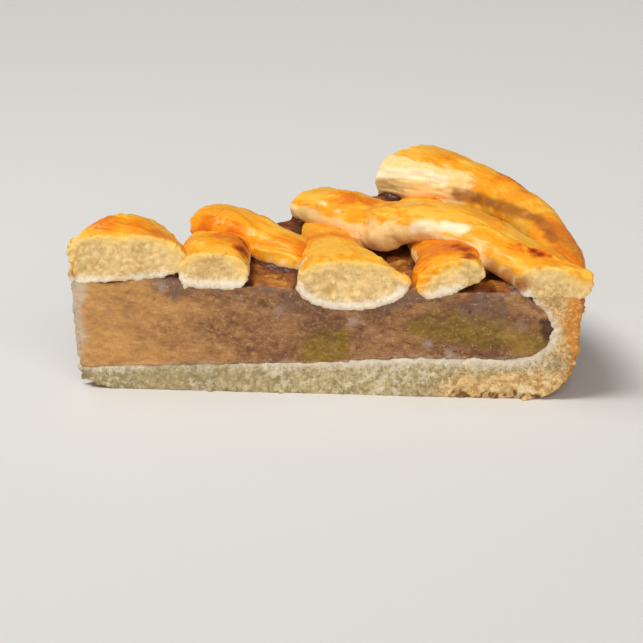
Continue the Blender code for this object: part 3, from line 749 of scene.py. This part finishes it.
def strip_skin(node, detail, relief):
    """One strip of the lattice: bubbled and brushed on top, crumbly where it is cut."""
    bubble, wrinkle, streak, grain_size, flake = 8.5, 2.2, 3.4, 1.4, 2.1
    even_rounds, border_rounds, far_rounds, warm_rounds = 18, 5, 24, 60
    plan = STRIPS[node]
    skin = Skin(node, detail)
    seed = plan.seed
    skin.relax(even_rounds, skin.off_cuts())
    points = skin.points.copy()
    laid = rim_way_points(points) if node == "rim_strip" else points
    drawn = along(laid, plan.way, 5.0)
    ways = skin.normals()
    free = 1 - skin.cut
    top = ramp(ways[:, 2], -0.15, 0.5)
    border = skin.border()
    bubbling = fractal(points, bubble, seed, 3)
    wrinkles = fractal(drawn, wrinkle, seed + 5, 3)
    streaks = fractal(drawn, streak, seed + 8, 3)
    grain = fractal(points, grain_size, seed + 12, 2)
    crumbs = grains(points, CRUMB_SIZE, seed + 16)
    flakes = ramp(grains(points, flake, seed + 18), 0.3, 0.7) * ramp(grain, -0.3, 0.4)
    touching = nearness(points, [other for other in LATTICE if other != node] + ["crust_shell"],
                        TOUCH_REACH)
    damp = nearness(points, FILLING, DAMP_REACH, skin.cut > SOME)
    seam = ramp(damp, 0.55, 0.8) * border
    bare, glazed, smear = (spots(points, places) for places in (plan.bare, plan.glazed, plan.smear))
    white = np.zeros(len(points))
    for line, width, amount in plan.white:
        white = np.maximum(white, amount * line_nearness(points, line, width))
    if node == "rim_strip":
        inward = -outward(points, ways)
        inside = far_cut_depth(points)
        chunk = ramp(inside, *CHUNK_END)
        bare = np.maximum(bare, ramp(inward, 0.15, 0.5) * chunk)
        smear = np.maximum(smear, line_nearness(points, CRESCENT, CRESCENT_WIDTH))
        glazed = np.maximum(glazed, ramp(points[:, 2], 39, 37) * (1 - chunk))
        layers = fractal(points * np.array((0.16, 0.16, 1)), 1.5, seed + 21, 2)
        skin.push(relief * 0.55 * layers * ramp(inward, 0.1, 0.5) * chunk * free)
    lumps = sum(math.copysign(1, spot.amount) * spots(points, [spot._replace(amount=abs(spot.amount))])
                for spot in plan.lumps)
    ridges = sum((amount * line_nearness(points, path, width) for path, width, amount in plan.ridges),
                 np.zeros(len(points)))
    crumb = crumb_relief(crumbs, grain, flakes)
    tip = skin.spread(skin.point_cut, 2)
    skin.relax(border_rounds, 0.8 * border)
    skin.relax(far_rounds, 0.9 * border * ramp(far_cut_depth(points), 3.0, 1.0))
    skin.grow(0.15 + 0.35 * np.maximum(ramp(touching, 0.55, 0.9), 1.6 * ramp(damp, 0.75, 0.9)))
    skin.push(relief * free * (0.5 * bubbling + 0.1 * wrinkles * top + 0.04 * grain))
    skin.push(0.9 * lumps + 0.3 * grain * np.clip(lumps, -1, 1) * ramp(np.abs(lumps), 2.0, 1.2))
    skin.push(relief * ridges * free)
    meeting = ramp(damp, 0.62, 0.85) * skin.cut
    skin.push(relief * skin.cut * (1 - 0.6 * meeting) * (0.55 * crumb + 0.25 * bubbling) + 0.3 * meeting)
    calm = 1 - 0.85 * ramp(far_cut_depth(points), 3.5, 1.5)
    skin.push(relief * border * calm * (1 - seam) * (0.5 * (crumbs - 0.3) + 0.3 * grain + 0.45 * flakes))
    skin.push(relief * tip * (0.8 * crumb + 0.5 * flakes))
    skin.relax(1, border)
    hollow = skin.hollow(6)
    cut = skin.cut * (1 - np.clip(1.5 * glazed, 0, 1))
    glaze = ramp(ways[:, 2] + 0.22 * fractal(points, 5, seed + 24, 2), plan.glaze - 0.45, plan.glaze - 0.05)
    glaze = np.maximum(glaze * (1 - bare), np.clip(1.3 * glazed, 0, 1))
    skin.marks["cut"] = skin.spread(cut, 5)
    skin.marks["stain"] = ramp(damp, 0.9, 1.0) * skin.cut
    # The crumb's height; the material paints raised crumb lighter with it: painted highlight
    skin.marks["raised"] = 0.5 + 0.9 * crumb
    skin.marks["warm"] = 1.7 * skin.spread(glaze * (1 - cut), warm_rounds) + 0.5 * tip
    skin.marks["glaze"] = glaze
    # Deeper glaze pooled in creases and at given spots, plus painted shade where the strip touches the others
    skin.marks["deep"] = (0.2 + 0.3 * streaks + 0.25 * bubbling + 1.8 * hollow + 0.4 * touching
                          + spots(points, plan.deep))
    # Pale steamed dough next to the filling; the point's cut is also painted paler: painted light falling on it from
    # the left
    skin.marks["pale"] = np.maximum(ramp(damp, 0.25, 0.95) * cut, 0.2 * tip)
    skin.marks["white"] = white
    # Red-brown spots, plus patches of painted shade where the strip touches the others
    skin.marks["scorch"] = spots(points, plan.scorch) + 0.4 * ramp(touching, 0.75, 1.0) * ramp(streaks, 0.1, 0.6)
    skin.marks["smear"] = smear
    skin.marks["laid"] = drawn
    loose = border * calm * (1 - seam) * ramp(crumbs, 0.3, 0.6) + 0.12 * skin.cut + 0.9 * tip
    loose += 0.7 * skin.cut * ramp(touching, 0.1, 0.8)
    skin.marks["crumbly"] = np.clip(loose, 0, 1) * (1 - glazed)
    return skin


def near_a_cut(points):
    """Whether points lie close to one of the cuts."""
    return (near_cut_depth(points) < NEAR_CUT) | (far_cut_depth(points) < NEAR_CUT)


def filling_marks(skin):
    """Where the pulp is mauve, amber, pale or darker: by the wall, at given spots, and as painted shade in a window.
    """
    points = skin.points
    wavy = along(points, (1, 1, 0), 2.0)
    height = points[:, 2]
    reach = from_point(points)
    patches = fractal(wavy, PATCH_SIZE, 113, 3)
    skin.marks["mauve"] = ramp(height + 5 * patches, 16, 30) * ramp(patches, -0.6, 0.6) * ramp(reach, 14, 24)
    skin.marks["amber"] = np.maximum(ramp(reach + 8 * patches, 62, 4), spots(points, CARAMEL_SPOTS))
    # Darker close to the wall about 18 mm up, and at the given spots, some of which are painted shade
    outer = ramp(reach, 119, 122) * ramp(np.abs(height - 18.4), 5, 1.5)
    skin.marks["dark_and_shade"] = np.maximum(outer, spots(points, DARK_AND_SHADE_SPOTS))
    skin.marks["lilac"] = spots(points, LILAC_SPOTS)
    skin.marks["window"] = 1 - skin.cut
    skin.marks["pale"] = ramp(reach + 2.5 * patches, 7.5, 2.5)


def pulp_relief(points):
    """The uneven cut through soft pulp: the same field for the compote and the apple in it."""
    wave, fibre, pit = 4.5, 1.7, 3.2
    wavy = along(points, (1, 1, 0), 1.8)
    waves, fibres = fractal(wavy, wave, 101, 3), fractal(wavy, fibre, 103, 2)
    return 0.4 * waves + 0.3 * fibres - 0.6 * ramp(grains(points, pit, 107), 0.74, 0.9)


CARAMEL_SPOTS = (Spot(7.5, -28, 28, 5, 1.0), Spot(4, -20, 28.5, 5, 0.8), Spot(-30, -24, 28, 5, 0.9),
                 Spot(-27, -28, 27.5, 5, 1.0), Spot(2, -5, 28, 7, 1.0), Spot(30, -27, 28, 5, 0.7))
LILAC_SPOTS = (Spot(-7.5, -32, 19.3, 1.6, 1.0), Spot(11.5, -32, 14.2, 1.7, 0.9), Spot(17.0, -32, 11.8, 2.0, 0.9),
               Spot(-56.2, -32, 27.6, 2.0, 0.9), Spot(-26.5, -32, 21.8, 2.2, 0.7), Spot(-36.0, -32, 24.5, 1.8, 0.6),
               Spot(35.0, -32, 19.5, 2.4, 0.6), Spot(-70.5, -32, 9.0, 2.0, 0.4))
# Darker spots: the first two paint the shade of a hole in the near cut, the next three are small darker dots there,
# and the last two are painted shade in the window by the short strip
DARK_AND_SHADE_SPOTS = (Spot(41.9, -32, 18.2, 2.4, 1.2), Spot(40.2, -32, 20.2, 1.5, 0.8), Spot(22, -32, 22.6, 0.8, 0.9),
              Spot(-9.5, -32, 23.2, 0.8, 0.8), Spot(-46.5, -32, 28.4, 1.2, 0.6), Spot(-34, -14.5, 28.9, 3.2, 0.9),
              Spot(-30.5, -18, 28.5, 2.4, 0.8))


def filling_skin(detail, relief):
    """The compote: soft and wet in the cuts, lumpy and sticky in the lattice's windows."""
    mound, morsel = 5.5, 3.4
    skin = Skin("apple_filling", detail, APPLE)
    skin.relax(6, skin.off_cuts())
    skin.grow(PULP_SWELL)
    points = skin.points.copy()
    top = (1 - skin.cut) * ramp(skin.normals()[:, 2], 0.0, 0.5)
    pulp = pulp_relief(points)
    lumps = 0.8 * fractal(points, mound, 109, 3) + 0.6 * (grains(points, morsel, 111) - 0.4)
    beside = nearness(points, LATTICE, 2.5, near_a_cut(points)) * skin.cut
    skin.push(relief * skin.cut * pulp * (1 - 0.8 * beside) - 0.2 * beside)
    skin.push(relief * top * lumps)
    filling_marks(skin)
    under_strips = nearness(points, LATTICE, 5.0, top > 0.1)
    inside = np.minimum(near_cut_depth(points), far_cut_depth(points))
    skin.push(top * ramp(under_strips, 0.72, 0.95) * (0.4 + 0.5 * ramp(inside, 1.5, 3.0)))
    # Painted shade: the syrup darkens under and beside the strips, less on the caramel spots
    shaded = top * ramp(under_strips, 0.3, 0.85) * (1 - 0.7 * spots(points, CARAMEL_SPOTS))
    skin.marks["dark_and_shade"] = np.maximum(skin.marks["dark_and_shade"], shaded)
    by_crust = nearness(points, ("crust_shell",), 2.2, near_a_cut(points))
    skin.marks["pale"] = np.maximum(skin.marks["pale"], 0.6 * ramp(by_crust, 0.2, 0.95) * skin.cut)
    # Height of the cut pulp and the lumps on top; the material paints raised parts lighter with it: painted highlight
    skin.marks["raised"] = 0.5 + 0.6 * skin.cut * pulp + 0.6 * top * lumps
    skin.marks["apple"] = 0.34 * ramp(nearness(points, APPLE, 3.0, near_a_cut(points)), 0.1, 1.0)
    return skin


def apple_skin(node, detail, relief):
    """One stewed piece of apple, level with the pulp round it where it is cut."""
    skin = Skin(node, detail)
    skin.grow(PULP_SWELL)
    points = skin.points.copy()
    pulp = pulp_relief(points)
    skin.push(relief * skin.cut * pulp + APPLE_PROUD)
    filling_marks(skin)
    edge = nearness(points, ("apple_filling",), 4.0, near_a_cut(points))
    skin.marks["raised"] = 0.5 + 0.6 * pulp
    ripe = 1.05 - 0.75 * ramp(edge, 0.0, 0.95) + 0.3 * fractal(points, 6, 127, 2)
    if node == "apple_piece_long":
        above = points[:, 2] - np.interp(points[:, 0], (7, 41), (18.0, 13.2))
        ripe *= ramp(above, -3.6, -1.8) * (1 - 0.5 * ramp(above, 1.8, 4.2))
    if node == "apple_piece_round":
        ripe *= 1 - 0.5 * ramp(points[:, 2], 16.5, 19.5)
    skin.marks["apple"] = ripe
    return skin


CRUST_SPOTS = (Spot(47.9, -31.0, 13.5, 1.8, 1.2), Spot(36.5, -31.6, 1.0, 1.6, 1.0))


def crust_skin(detail, relief):
    """The base and wall: crumbly in the cuts, rough and grainy outside and below."""
    clod, grain_size, wave, blotch = 2.3, 1.5, 9, 5
    skin = Skin("crust_shell", detail)
    skin.relax(5, skin.off_cuts())
    points = skin.points.copy()
    ways = skin.normals()
    reach = from_point(points)
    outside = ramp(outward(points, ways), 0.3, 0.7) * (1 - skin.cut) * ramp(reach, 60, 110)
    under = ramp(ways[:, 2], -0.4, -0.8) * (1 - skin.cut)
    border = skin.border()
    crumbs = grains(points, CRUMB_SIZE, 131)
    coarse = grains(points, clod, 137)
    grain = fractal(points, grain_size, 139, 2)
    broad = fractal(points, wave, 149, 2)
    flakes = ramp(coarse, 0.5, 0.8) * ramp(grain, -0.3, 0.4)
    crumb = crumb_relief(crumbs, grain, flakes)
    near_strips = nearness(points, LATTICE, 2.0, points[:, 2] > 22)
    skin.grow(0.15 + 0.6 * ramp(near_strips, 0.4, 0.9))
    skin.push(relief * skin.cut * (0.6 * crumb + 0.3 * broad))
    skin.push(relief * outside * (0.8 * (coarse - 0.45) + 0.5 * (crumbs - 0.4) + 0.45 * broad))
    touching = nearness(points, FILLING, BASE_DAMP_REACH, skin.cut > SOME)
    seam = ramp(touching, 0.6, 0.85) * border
    skin.relax(4, 0.8 * border)
    skin.push(relief * border * (1 - seam) * (0.6 * (crumbs - 0.3) + 0.4 * grain + 0.7 * flakes))
    skin.push(relief * under * (0.25 * (coarse - 0.6)))
    skin.push(spots(points, CRUST_SPOTS))
    skin.marks["stain"] = ramp(touching, 0.8, 0.98) * skin.cut
    # The crumb's height; the material paints raised crumb lighter with it: painted highlight
    skin.marks["raised"] = 0.5 + 0.9 * crumb
    skin.marks["pale"] = (ramp(touching, 0.02, 1.0) * (1 - 0.4 * ramp(points[:, 2], 16, 24))
                          * (0.6 + 0.5 * ramp(reach, 35, 80)))
    skin.marks["warm"] = ramp(reach + 4 * broad, 90, 104) * ramp(points[:, 2] + 2 * broad, 9, 4) + ramp(
        points[:, 2], 6, 16) * ramp(reach, 115, 121)
    skin.marks["damp"] = ramp(reach, 70, 25) * 0.8
    skin.marks["brown"] = outside + under * 0.9 + ramp(reach + 2.5 * grain + 1.5 * broad, 123.5, 129.5)
    skin.marks["scorch"] = (outside * ramp(fractal(points, blotch, 151, 3), 0.2, 0.8) * 0.8
                            + ramp(points[:, 2] + 1.2 * grain, 3.0, 0.4) * ramp(reach, 92, 102)
                            * ramp(reach, 123, 119) * ramp(crumbs, 0.7, 0.2) * 1.4)
    foot = ramp(points[:, 2], 1.6, 0.5) * skin.cut * ramp(reach, 25, 60)
    loose = outside * 0.5 + border * (1 - seam) * 0.6 + 0.16 * skin.cut + 0.9 * foot + near_strips * skin.cut
    loose += 0.5 * skin.cut * ramp(reach, 88, 100) * ramp(coarse, 0.2, 0.7)
    skin.marks["crumbly"] = np.clip(loose, 0, 1)
    return skin


def crumb_tree():
    """Geometry nodes that strew uneven crumbs over a surface where its crumbly mark is high."""
    tree = bpy.data.node_groups.new("strewn_crumbs", "GeometryNodeTree")
    face = tree.interface
    face.new_socket("Geometry", in_out="INPUT", socket_type="NodeSocketGeometry")
    for name, kind in (("Density", "Float"), ("Smallest", "Float"), ("Largest", "Float"), ("Unevenness", "Float"),
                       ("Seed", "Int"), ("Material", "Material")):
        face.new_socket(name, in_out="INPUT", socket_type="NodeSocket" + kind)
    face.new_socket("Geometry", in_out="OUTPUT", socket_type="NodeSocketGeometry")

    def node(kind, settings=(), numbered=(), **named):
        """Adds a node: its settings first, then its sockets by number or by name."""
        made = tree.nodes.new(kind)
        for name, value in dict(settings).items():
            setattr(made, name, value)
        inputs = {**dict(numbered), **{name.replace("_", " "): value for name, value in named.items()}}
        for key, value in inputs.items():
            if isinstance(value, bpy.types.NodeSocket):
                tree.links.new(value, made.inputs[key])
            else:
                made.inputs[key].default_value = value
        return made

    given = node("NodeGroupInput").outputs
    mark = node("GeometryNodeInputNamedAttribute", {"data_type": "FLOAT"}, Name="crumbly").outputs["Attribute"]
    thick = node("ShaderNodeMath", {"operation": "MULTIPLY"}, {0: given["Density"], 1: mark})
    points = node("GeometryNodeDistributePointsOnFaces", {"distribute_method": "RANDOM"},
                  Mesh=given["Geometry"], Density=thick.outputs[0], Seed=given["Seed"])
    crumb = node("GeometryNodeMeshIcoSphere", Radius=1.0, Subdivisions=2)
    turn = node("FunctionNodeRandomValue", {"data_type": "FLOAT_VECTOR"}, Seed=given["Seed"], Max=(math.tau,) * 3)
    chance = node("FunctionNodeRandomValue", {"data_type": "FLOAT"}, Seed=given["Seed"])
    seldom = node("ShaderNodeMath", {"operation": "POWER"}, {0: chance.outputs[1], 1: MOSTLY_SMALL})
    size = node("ShaderNodeMapRange", Value=seldom.outputs[0], To_Min=given["Smallest"], To_Max=given["Largest"])
    strewn = node("GeometryNodeInstanceOnPoints", Points=points.outputs["Points"], Instance=crumb.outputs["Mesh"],
                  Rotation=turn.outputs["Value"], Scale=size.outputs[0])
    real = node("GeometryNodeRealizeInstances", Geometry=strewn.outputs["Instances"])
    rough = node("ShaderNodeTexNoise", Scale=1 / (DENT_SIZE * MM), Detail=2.0)
    even = node("ShaderNodeVectorMath", {"operation": "SUBTRACT"}, {0: rough.outputs["Color"], 1: (0.5, 0.5, 0.5)})
    moved = node("ShaderNodeVectorMath", {"operation": "SCALE"}, {0: even.outputs[0]}, Scale=given["Unevenness"])
    shaped = node("GeometryNodeSetPosition", Geometry=real.outputs["Geometry"], Offset=moved.outputs[0])
    smooth = node("GeometryNodeSetShadeSmooth", Geometry=shaped.outputs["Geometry"])
    coated = node("GeometryNodeSetMaterial", Geometry=smooth.outputs["Geometry"], Material=given["Material"])
    node("NodeGroupOutput", Geometry=coated.outputs["Geometry"])
    return tree


def strew(name, host, tree, material, slot, **inputs):
    """A piece of loose crumbs strewn over a finished piece."""
    work = bpy.data.objects.new("work", host.data.copy())
    bpy.context.scene.collection.objects.link(work)
    modifier = work.modifiers.new("crumbs", "NODES")
    modifier.node_group = tree
    identifiers = {item.name: item.identifier for item in tree.interface.items_tree if item.in_out == "INPUT"}
    for label, value in {**inputs, "Material": material}.items():
        modifier[identifiers[label]] = value
    work.update_tag()
    bpy.context.view_layer.update()
    evaluated = work.evaluated_get(bpy.context.evaluated_depsgraph_get())
    mesh = bpy.data.meshes.new_from_object(evaluated)
    bpy.data.objects.remove(work)
    places = np.empty((len(mesh.vertices), 3), np.float32)
    mesh.vertices.foreach_get("co", places.ravel())
    np.maximum(places[:, 2], 0, out=places[:, 2])
    mesh.vertices.foreach_set("co", places.ravel())
    piece = bpy.data.objects.new(name, mesh)
    bpy.context.scene.collection.objects.link(piece)
    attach(piece, BODY)
    return piece


# What a user would change

def colour_property(name, description, default):
    return FloatVectorProperty(name=name, description=description, subtype="COLOR", size=3, min=0, max=1,
                               default=default)


class PieDoughSettings(bpy.types.PropertyGroup):
    """Relief and colours of the pastry."""
    detail: FloatProperty(name="Skin detail", description="Length of the skin's faces, in millimetres",
                          default=0.42, min=0.3, max=2.0)
    relief: FloatProperty(name="Relief", description="Strength of crumb, wrinkles and bubbles", default=1.0,
                          min=0.0, max=3.0)
    crumb_light: colour_property("Crumb, light", "Light parts of the cut lattice", (0.88, 0.65, 0.315))
    crumb_shade: colour_property("Crumb, shade", "Darker parts of the cut lattice", (0.62, 0.39, 0.14))
    crumb_gold: colour_property("Crumb, gold", "Buttery patches of the cut lattice", (0.92, 0.60, 0.17))
    # Painted shade in the pores
    pore_shade: colour_property("Crumb, pores", "Small pores in all cut dough", (0.34, 0.17, 0.05))
    bare_skin: colour_property("Bare skin", "Dough that the glaze missed", (0.93, 0.67, 0.30))
    bare_shade: colour_property("Bare skin, shade", "Darker parts of bare dough", (0.90, 0.57, 0.21))
    glaze_light: colour_property("Glaze, light", "Thin egg glaze", (0.93, 0.48, 0.050))
    glaze_gold: colour_property("Glaze, gold", "Egg glaze", (0.89, 0.34, 0.012))
    # Also painted shade where strips touch
    glaze_deep: colour_property("Glaze, deep", "Pooled, well baked egg glaze", (0.73, 0.18, 0.006))
    # These two also paint patches of shade where strips touch
    singed: colour_property("Singed", "Red-orange rim of the darkest spots", (0.62, 0.105, 0.005))
    scorched: colour_property("Scorched", "Red-brown spots", (0.24, 0.028, 0.003))
    smear: colour_property("Syrup on dough", "Syrup that soaked into the dough", (0.50, 0.17, 0.026))
    smear_deep: colour_property("Syrup on dough, deep", "Darker syrup on the dough", (0.23, 0.056, 0.009))
    white_skin: colour_property("White skin", "Dry white patches on top", (0.94, 0.79, 0.52))
    # Also painted light on the point's cut
    pale_band: colour_property("Pale band", "Steamed dough next to the filling", (0.88, 0.79, 0.65))
    stained: colour_property("Stained", "Dough tinted by the filling beside it", (0.46, 0.28, 0.13))
    base_film: colour_property("Base, film", "Steamed top of the base", (0.74, 0.65, 0.50))
    base_white: colour_property("Base, white", "Chalky lumps of the base", (0.74, 0.66, 0.48))
    base_light: colour_property("Base, light", "Light crumb of the base", (0.64, 0.51, 0.29))
    base_shade: colour_property("Base, shade", "Darker crumb of the base", (0.33, 0.25, 0.12))
    base_olive: colour_property("Base, olive", "Damp patches of the base", (0.29, 0.225, 0.108))
    base_pit: colour_property("Base, pits", "Baked pits along the foot and outside", (0.17, 0.062, 0.015))
    base_warm: colour_property("Base, warm", "Drier golden crumb near the rim", (0.84, 0.58, 0.26))
    # Painted highlight on raised grains
    toasted_highlight: colour_property("Toasted, light", "Pale grains on the toasted crust", (0.90, 0.62, 0.28))
    warm_shade: colour_property("Base, warm shade", "Darker golden crumb near the rim", (0.46, 0.26, 0.09))
    toasted: colour_property("Toasted", "Browned outside of the crust", (0.78, 0.36, 0.075))
    toasted_deep: colour_property("Toasted, deep", "Darkest outside of the crust", (0.42, 0.14, 0.025))


class PieFillingSettings(bpy.types.PropertyGroup):
    """Colours of the compote and the apple pieces."""
    detail: FloatProperty(name="Skin detail", description="Length of the skin's faces, in millimetres",
                          default=0.5, min=0.3, max=2.0)
    relief: FloatProperty(name="Relief", description="Strength of lumps and pits", default=1.0, min=0.0, max=3.0)
    pulp_tan: colour_property("Pulp, tan", "Most of the compote", (0.35, 0.165, 0.064))
    pulp_brown: colour_property("Pulp, brown", "Darker compote", (0.17, 0.064, 0.022))
    # Also painted wet glints
    pulp_specks_and_glints: colour_property("Pulp, light", "Pale grains in the compote", (0.66, 0.42, 0.20))
    pulp_amber: colour_property("Pulp, amber", "Clearer compote by the point", (0.62, 0.31, 0.085))
    pulp_mauve: colour_property("Pulp, mauve", "Greyish mauve streaks", (0.17, 0.088, 0.060))
    pulp_lilac: colour_property("Pulp, lilac", "Palest greyish spots", (0.40, 0.28, 0.22))
    pulp_film: colour_property("Pulp, film", "Pale film down the point", (0.60, 0.48, 0.35))
    apple_flesh: colour_property("Apple", "Stewed apple", (0.32, 0.182, 0.010))
    apple_shade: colour_property("Apple, shade", "Darker stewed apple", (0.15, 0.076, 0.005))
    syrup: colour_property("Syrup", "Baked syrup in the windows", (0.45, 0.155, 0.018))
    syrup_light: colour_property("Syrup, light", "Clearest baked syrup", (0.70, 0.36, 0.085))
    syrup_shade: colour_property("Syrup, shade", "Darker baked syrup", (0.13, 0.024, 0.003))
    # Also painted shade under the strips and in a hole of the near cut
    syrup_dark_and_shade: colour_property("Syrup, dark", "Darkest baked syrup", (0.060, 0.010, 0.002))


class PieCrumbSettings(bpy.types.PropertyGroup):
    """Loose crumbs on the cuts, edges and wall."""
    density: FloatProperty(name="Density", description="Crumbs to a square metre where they lie thickest",
                           default=90000.0, min=0.0)
    smallest: FloatProperty(name="Smallest", description="Radius of the smallest crumb", default=0.00018,
                            subtype="DISTANCE", unit="LENGTH")
    largest: FloatProperty(name="Largest", description="Radius of the largest crumb", default=0.0009,
                           subtype="DISTANCE", unit="LENGTH")
    seed: IntProperty(name="Seed", description="Changes where the crumbs lie", default=7)


class PieStageSettings(bpy.types.PropertyGroup):
    """Floor, lights and camera."""
    floor_colour: colour_property("Floor", "Colour of the floor", (0.74, 0.73, 0.71))
    key_light: FloatProperty(name="Key light", description="Strength of the soft light above", default=1.8)
    fill_light: FloatProperty(name="Fill light", description="Strength of the softer light in front", default=1.6)
    glint_power: FloatProperty(name="Glint light", description="Power of the narrow light above", default=0.65,
                               subtype="POWER", unit="POWER")
    daylight: FloatProperty(name="Surrounding light", description="Strength of the even light all round",
                            default=0.15, min=0.0, max=2.0)
    camera_angle: FloatProperty(name="Camera angle", description="How far right of the near cut the camera stands",
                                default=math.radians(5), subtype="ANGLE", unit="ROTATION")
    camera_height: FloatProperty(name="Camera height", description="How far above level the camera looks from",
                                 default=math.radians(16), subtype="ANGLE", unit="ROTATION")


class PIE_OT_stage(bpy.types.Operator):
    """Makes the floor, the lights and the camera"""
    bl_idname = "pie.stage"
    bl_label = "Stage"

    def execute(self, context):
        look = context.scene.pie_stage
        scene = context.scene
        scene.view_settings.view_transform = "Standard"
        floor_reach, room_colour = 3.0, (0.92, 0.95, 1.0, 1)
        glint_place, glint_length, glint_width = (-0.22, 0.02, 0.50), 0.40, 0.04
        mesh = bpy.data.meshes.new("floor")
        work = bmesh.new()
        bmesh.ops.create_grid(work, x_segments=1, y_segments=1, size=floor_reach)
        work.to_mesh(mesh)
        work.free()
        f = Finish("plain_floor")
        f.set(Base_Color=tuple(look.floor_colour), Roughness=0.7)
        mesh.materials.append(f.material)
        floor = bpy.data.objects.new("floor", mesh)
        scene.collection.objects.link(floor)
        world = bpy.data.worlds.new("soft_room")
        scene.world = world
        world.use_nodes = True
        background = world.node_tree.nodes["Background"]
        background.inputs["Color"].default_value = room_colour
        background.inputs["Strength"].default_value = look.daylight
        suns = {"key": (look.key_light, (-0.40, -0.25, 1.0), 25, (1.0, 0.97, 0.92)),
                "fill": (look.fill_light, (0.30, -1.0, 0.45), 50, (1.0, 0.98, 0.95))}
        for name, (strength, way, softness, colour) in suns.items():
            lamp = self.add_light(name, "SUN", strength, colour, Vector(way))
            lamp.data.angle = math.radians(softness)
        glint = self.add_light("glint", "AREA", look.glint_power, (1.0, 1.0, 1.0), Vector(glint_place))
        glint.data.shape = "RECTANGLE"
        glint.data.size = glint_length
        glint.data.size_y = glint_width
        self.add_camera(scene, look)
        return {"FINISHED"}

    def add_light(self, name, kind, strength, colour, place):
        """A light at a place, turned to the slice."""
        data = bpy.data.lights.new(name, kind)
        data.energy = strength
        data.color = colour
        lamp = bpy.data.objects.new(name, data)
        bpy.context.scene.collection.objects.link(lamp)
        lamp.location = place
        lamp.rotation_euler = place.to_track_quat("Z", "Y").to_euler()
        return lamp

    def add_camera(self, scene, look):
        """The camera stands where the photograph was taken from."""
        frame_pixels, sensor, distance, focal_pixels = 643, 36.0, 0.65, 3960
        shift_right, shift_down = 5.5, 4.5
        aim = Vector((-0.0140, -0.0320, 0.0180))
        flat = math.cos(look.camera_height)
        back = Vector((math.sin(look.camera_angle) * flat, -math.cos(look.camera_angle) * flat,
                       math.sin(look.camera_height)))
        data = bpy.data.cameras.new("camera")
        data.sensor_width = sensor
        data.lens = focal_pixels * distance / frame_pixels * sensor
        data.shift_x = -shift_right / frame_pixels
        data.shift_y = shift_down / frame_pixels
        camera = bpy.data.objects.new("camera", data)
        scene.collection.objects.link(camera)
        camera.location = aim + back * distance
        camera.rotation_euler = back.to_track_quat("Z", "Y").to_euler()
        scene.camera = camera


class PIE_OT_crust(bpy.types.Operator):
    """Finishes the base and wall of the crust"""
    bl_idname = "pie.crust"
    bl_label = "Crust"

    def execute(self, context):
        look = context.scene.pie_dough
        crust_skin(look.detail * CRUST_DETAIL, look.relief).finish(crust_finish(look), "crust")
        return {"FINISHED"}


class PIE_OT_filling(bpy.types.Operator):
    """Finishes the compote that runs through the slice"""
    bl_idname = "pie.filling"
    bl_label = "Filling"

    def execute(self, context):
        look = context.scene.pie_filling
        filling_skin(look.detail, look.relief).finish(compote_finish(look, "compote"), "filling")
        return {"FINISHED"}


class PIE_OT_apple_pieces(bpy.types.Operator):
    """Finishes the stewed apple pieces in the cuts"""
    bl_idname = "pie.apple_pieces"
    bl_label = "Apple pieces"

    def execute(self, context):
        look = context.scene.pie_filling
        material = compote_finish(look, "stewed_apple")
        for node in APPLE:
            apple_skin(node, look.detail, look.relief).finish(material, "apple")
        return {"FINISHED"}


class PIE_OT_lattice(bpy.types.Operator):
    """Finishes the seven strips of the lattice"""
    bl_idname = "pie.lattice"
    bl_label = "Lattice strips"

    def execute(self, context):
        look = context.scene.pie_dough
        material = dough_finish(look)
        for node in LATTICE:
            strip_skin(node, look.detail, look.relief).finish(material, "lattice")
        return {"FINISHED"}


class PIE_OT_crumbs(bpy.types.Operator):
    """Strews loose crumbs over the cuts, the edges and the wall"""
    bl_idname = "pie.crumbs"
    bl_label = "Loose crumbs"

    def execute(self, context):
        look = context.scene.pie_crumbs
        tree = crumb_tree()
        for node, slot in (("crust_shell", "crust"), *((strip, "lattice") for strip in LATTICE)):
            host = bpy.data.objects[node + "_skin"]
            strew(node + "_crumbs", host, tree, host.data.materials[0], slot, Density=look.density,
                  Smallest=look.smallest, Largest=look.largest, Unevenness=DENT_DEPTH * MM, Seed=look.seed)
        return {"FINISHED"}


OPERATORS = (PIE_OT_stage, PIE_OT_crust, PIE_OT_filling, PIE_OT_apple_pieces, PIE_OT_lattice, PIE_OT_crumbs)


class PIE_PT_panel(bpy.types.Panel):
    """Lists the pie slice's steps and settings"""
    bl_idname = "PIE_PT_panel"
    bl_label = "Lattice Apple Pie Slice"
    bl_space_type = "VIEW_3D"
    bl_region_type = "UI"
    bl_category = "Pie Slice"

    def draw(self, context):
        for operator in OPERATORS:
            self.layout.operator(operator.bl_idname)
        for settings in (context.scene.pie_dough, context.scene.pie_filling, context.scene.pie_crumbs,
                         context.scene.pie_stage):
            box = self.layout.box()
            for name in settings.__annotations__:
                box.prop(settings, name)


SETTINGS = {"pie_dough": PieDoughSettings, "pie_filling": PieFillingSettings, "pie_crumbs": PieCrumbSettings,
            "pie_stage": PieStageSettings}


def register():
    for group in (*SETTINGS.values(), *OPERATORS, PIE_PT_panel):
        bpy.utils.register_class(group)
    for name, group in SETTINGS.items():
        setattr(bpy.types.Scene, name, PointerProperty(type=group))


def unregister():
    for name in SETTINGS:
        delattr(bpy.types.Scene, name)
    for group in reversed((*SETTINGS.values(), *OPERATORS, PIE_PT_panel)):
        bpy.utils.unregister_class(group)


def main():
    register()
    bpy.ops.pie.stage()
    bpy.ops.pie.crust()
    bpy.ops.pie.filling()
    bpy.ops.pie.apple_pieces()
    bpy.ops.pie.lattice()
    bpy.ops.pie.crumbs()


if __name__ == "__main__":
    main()
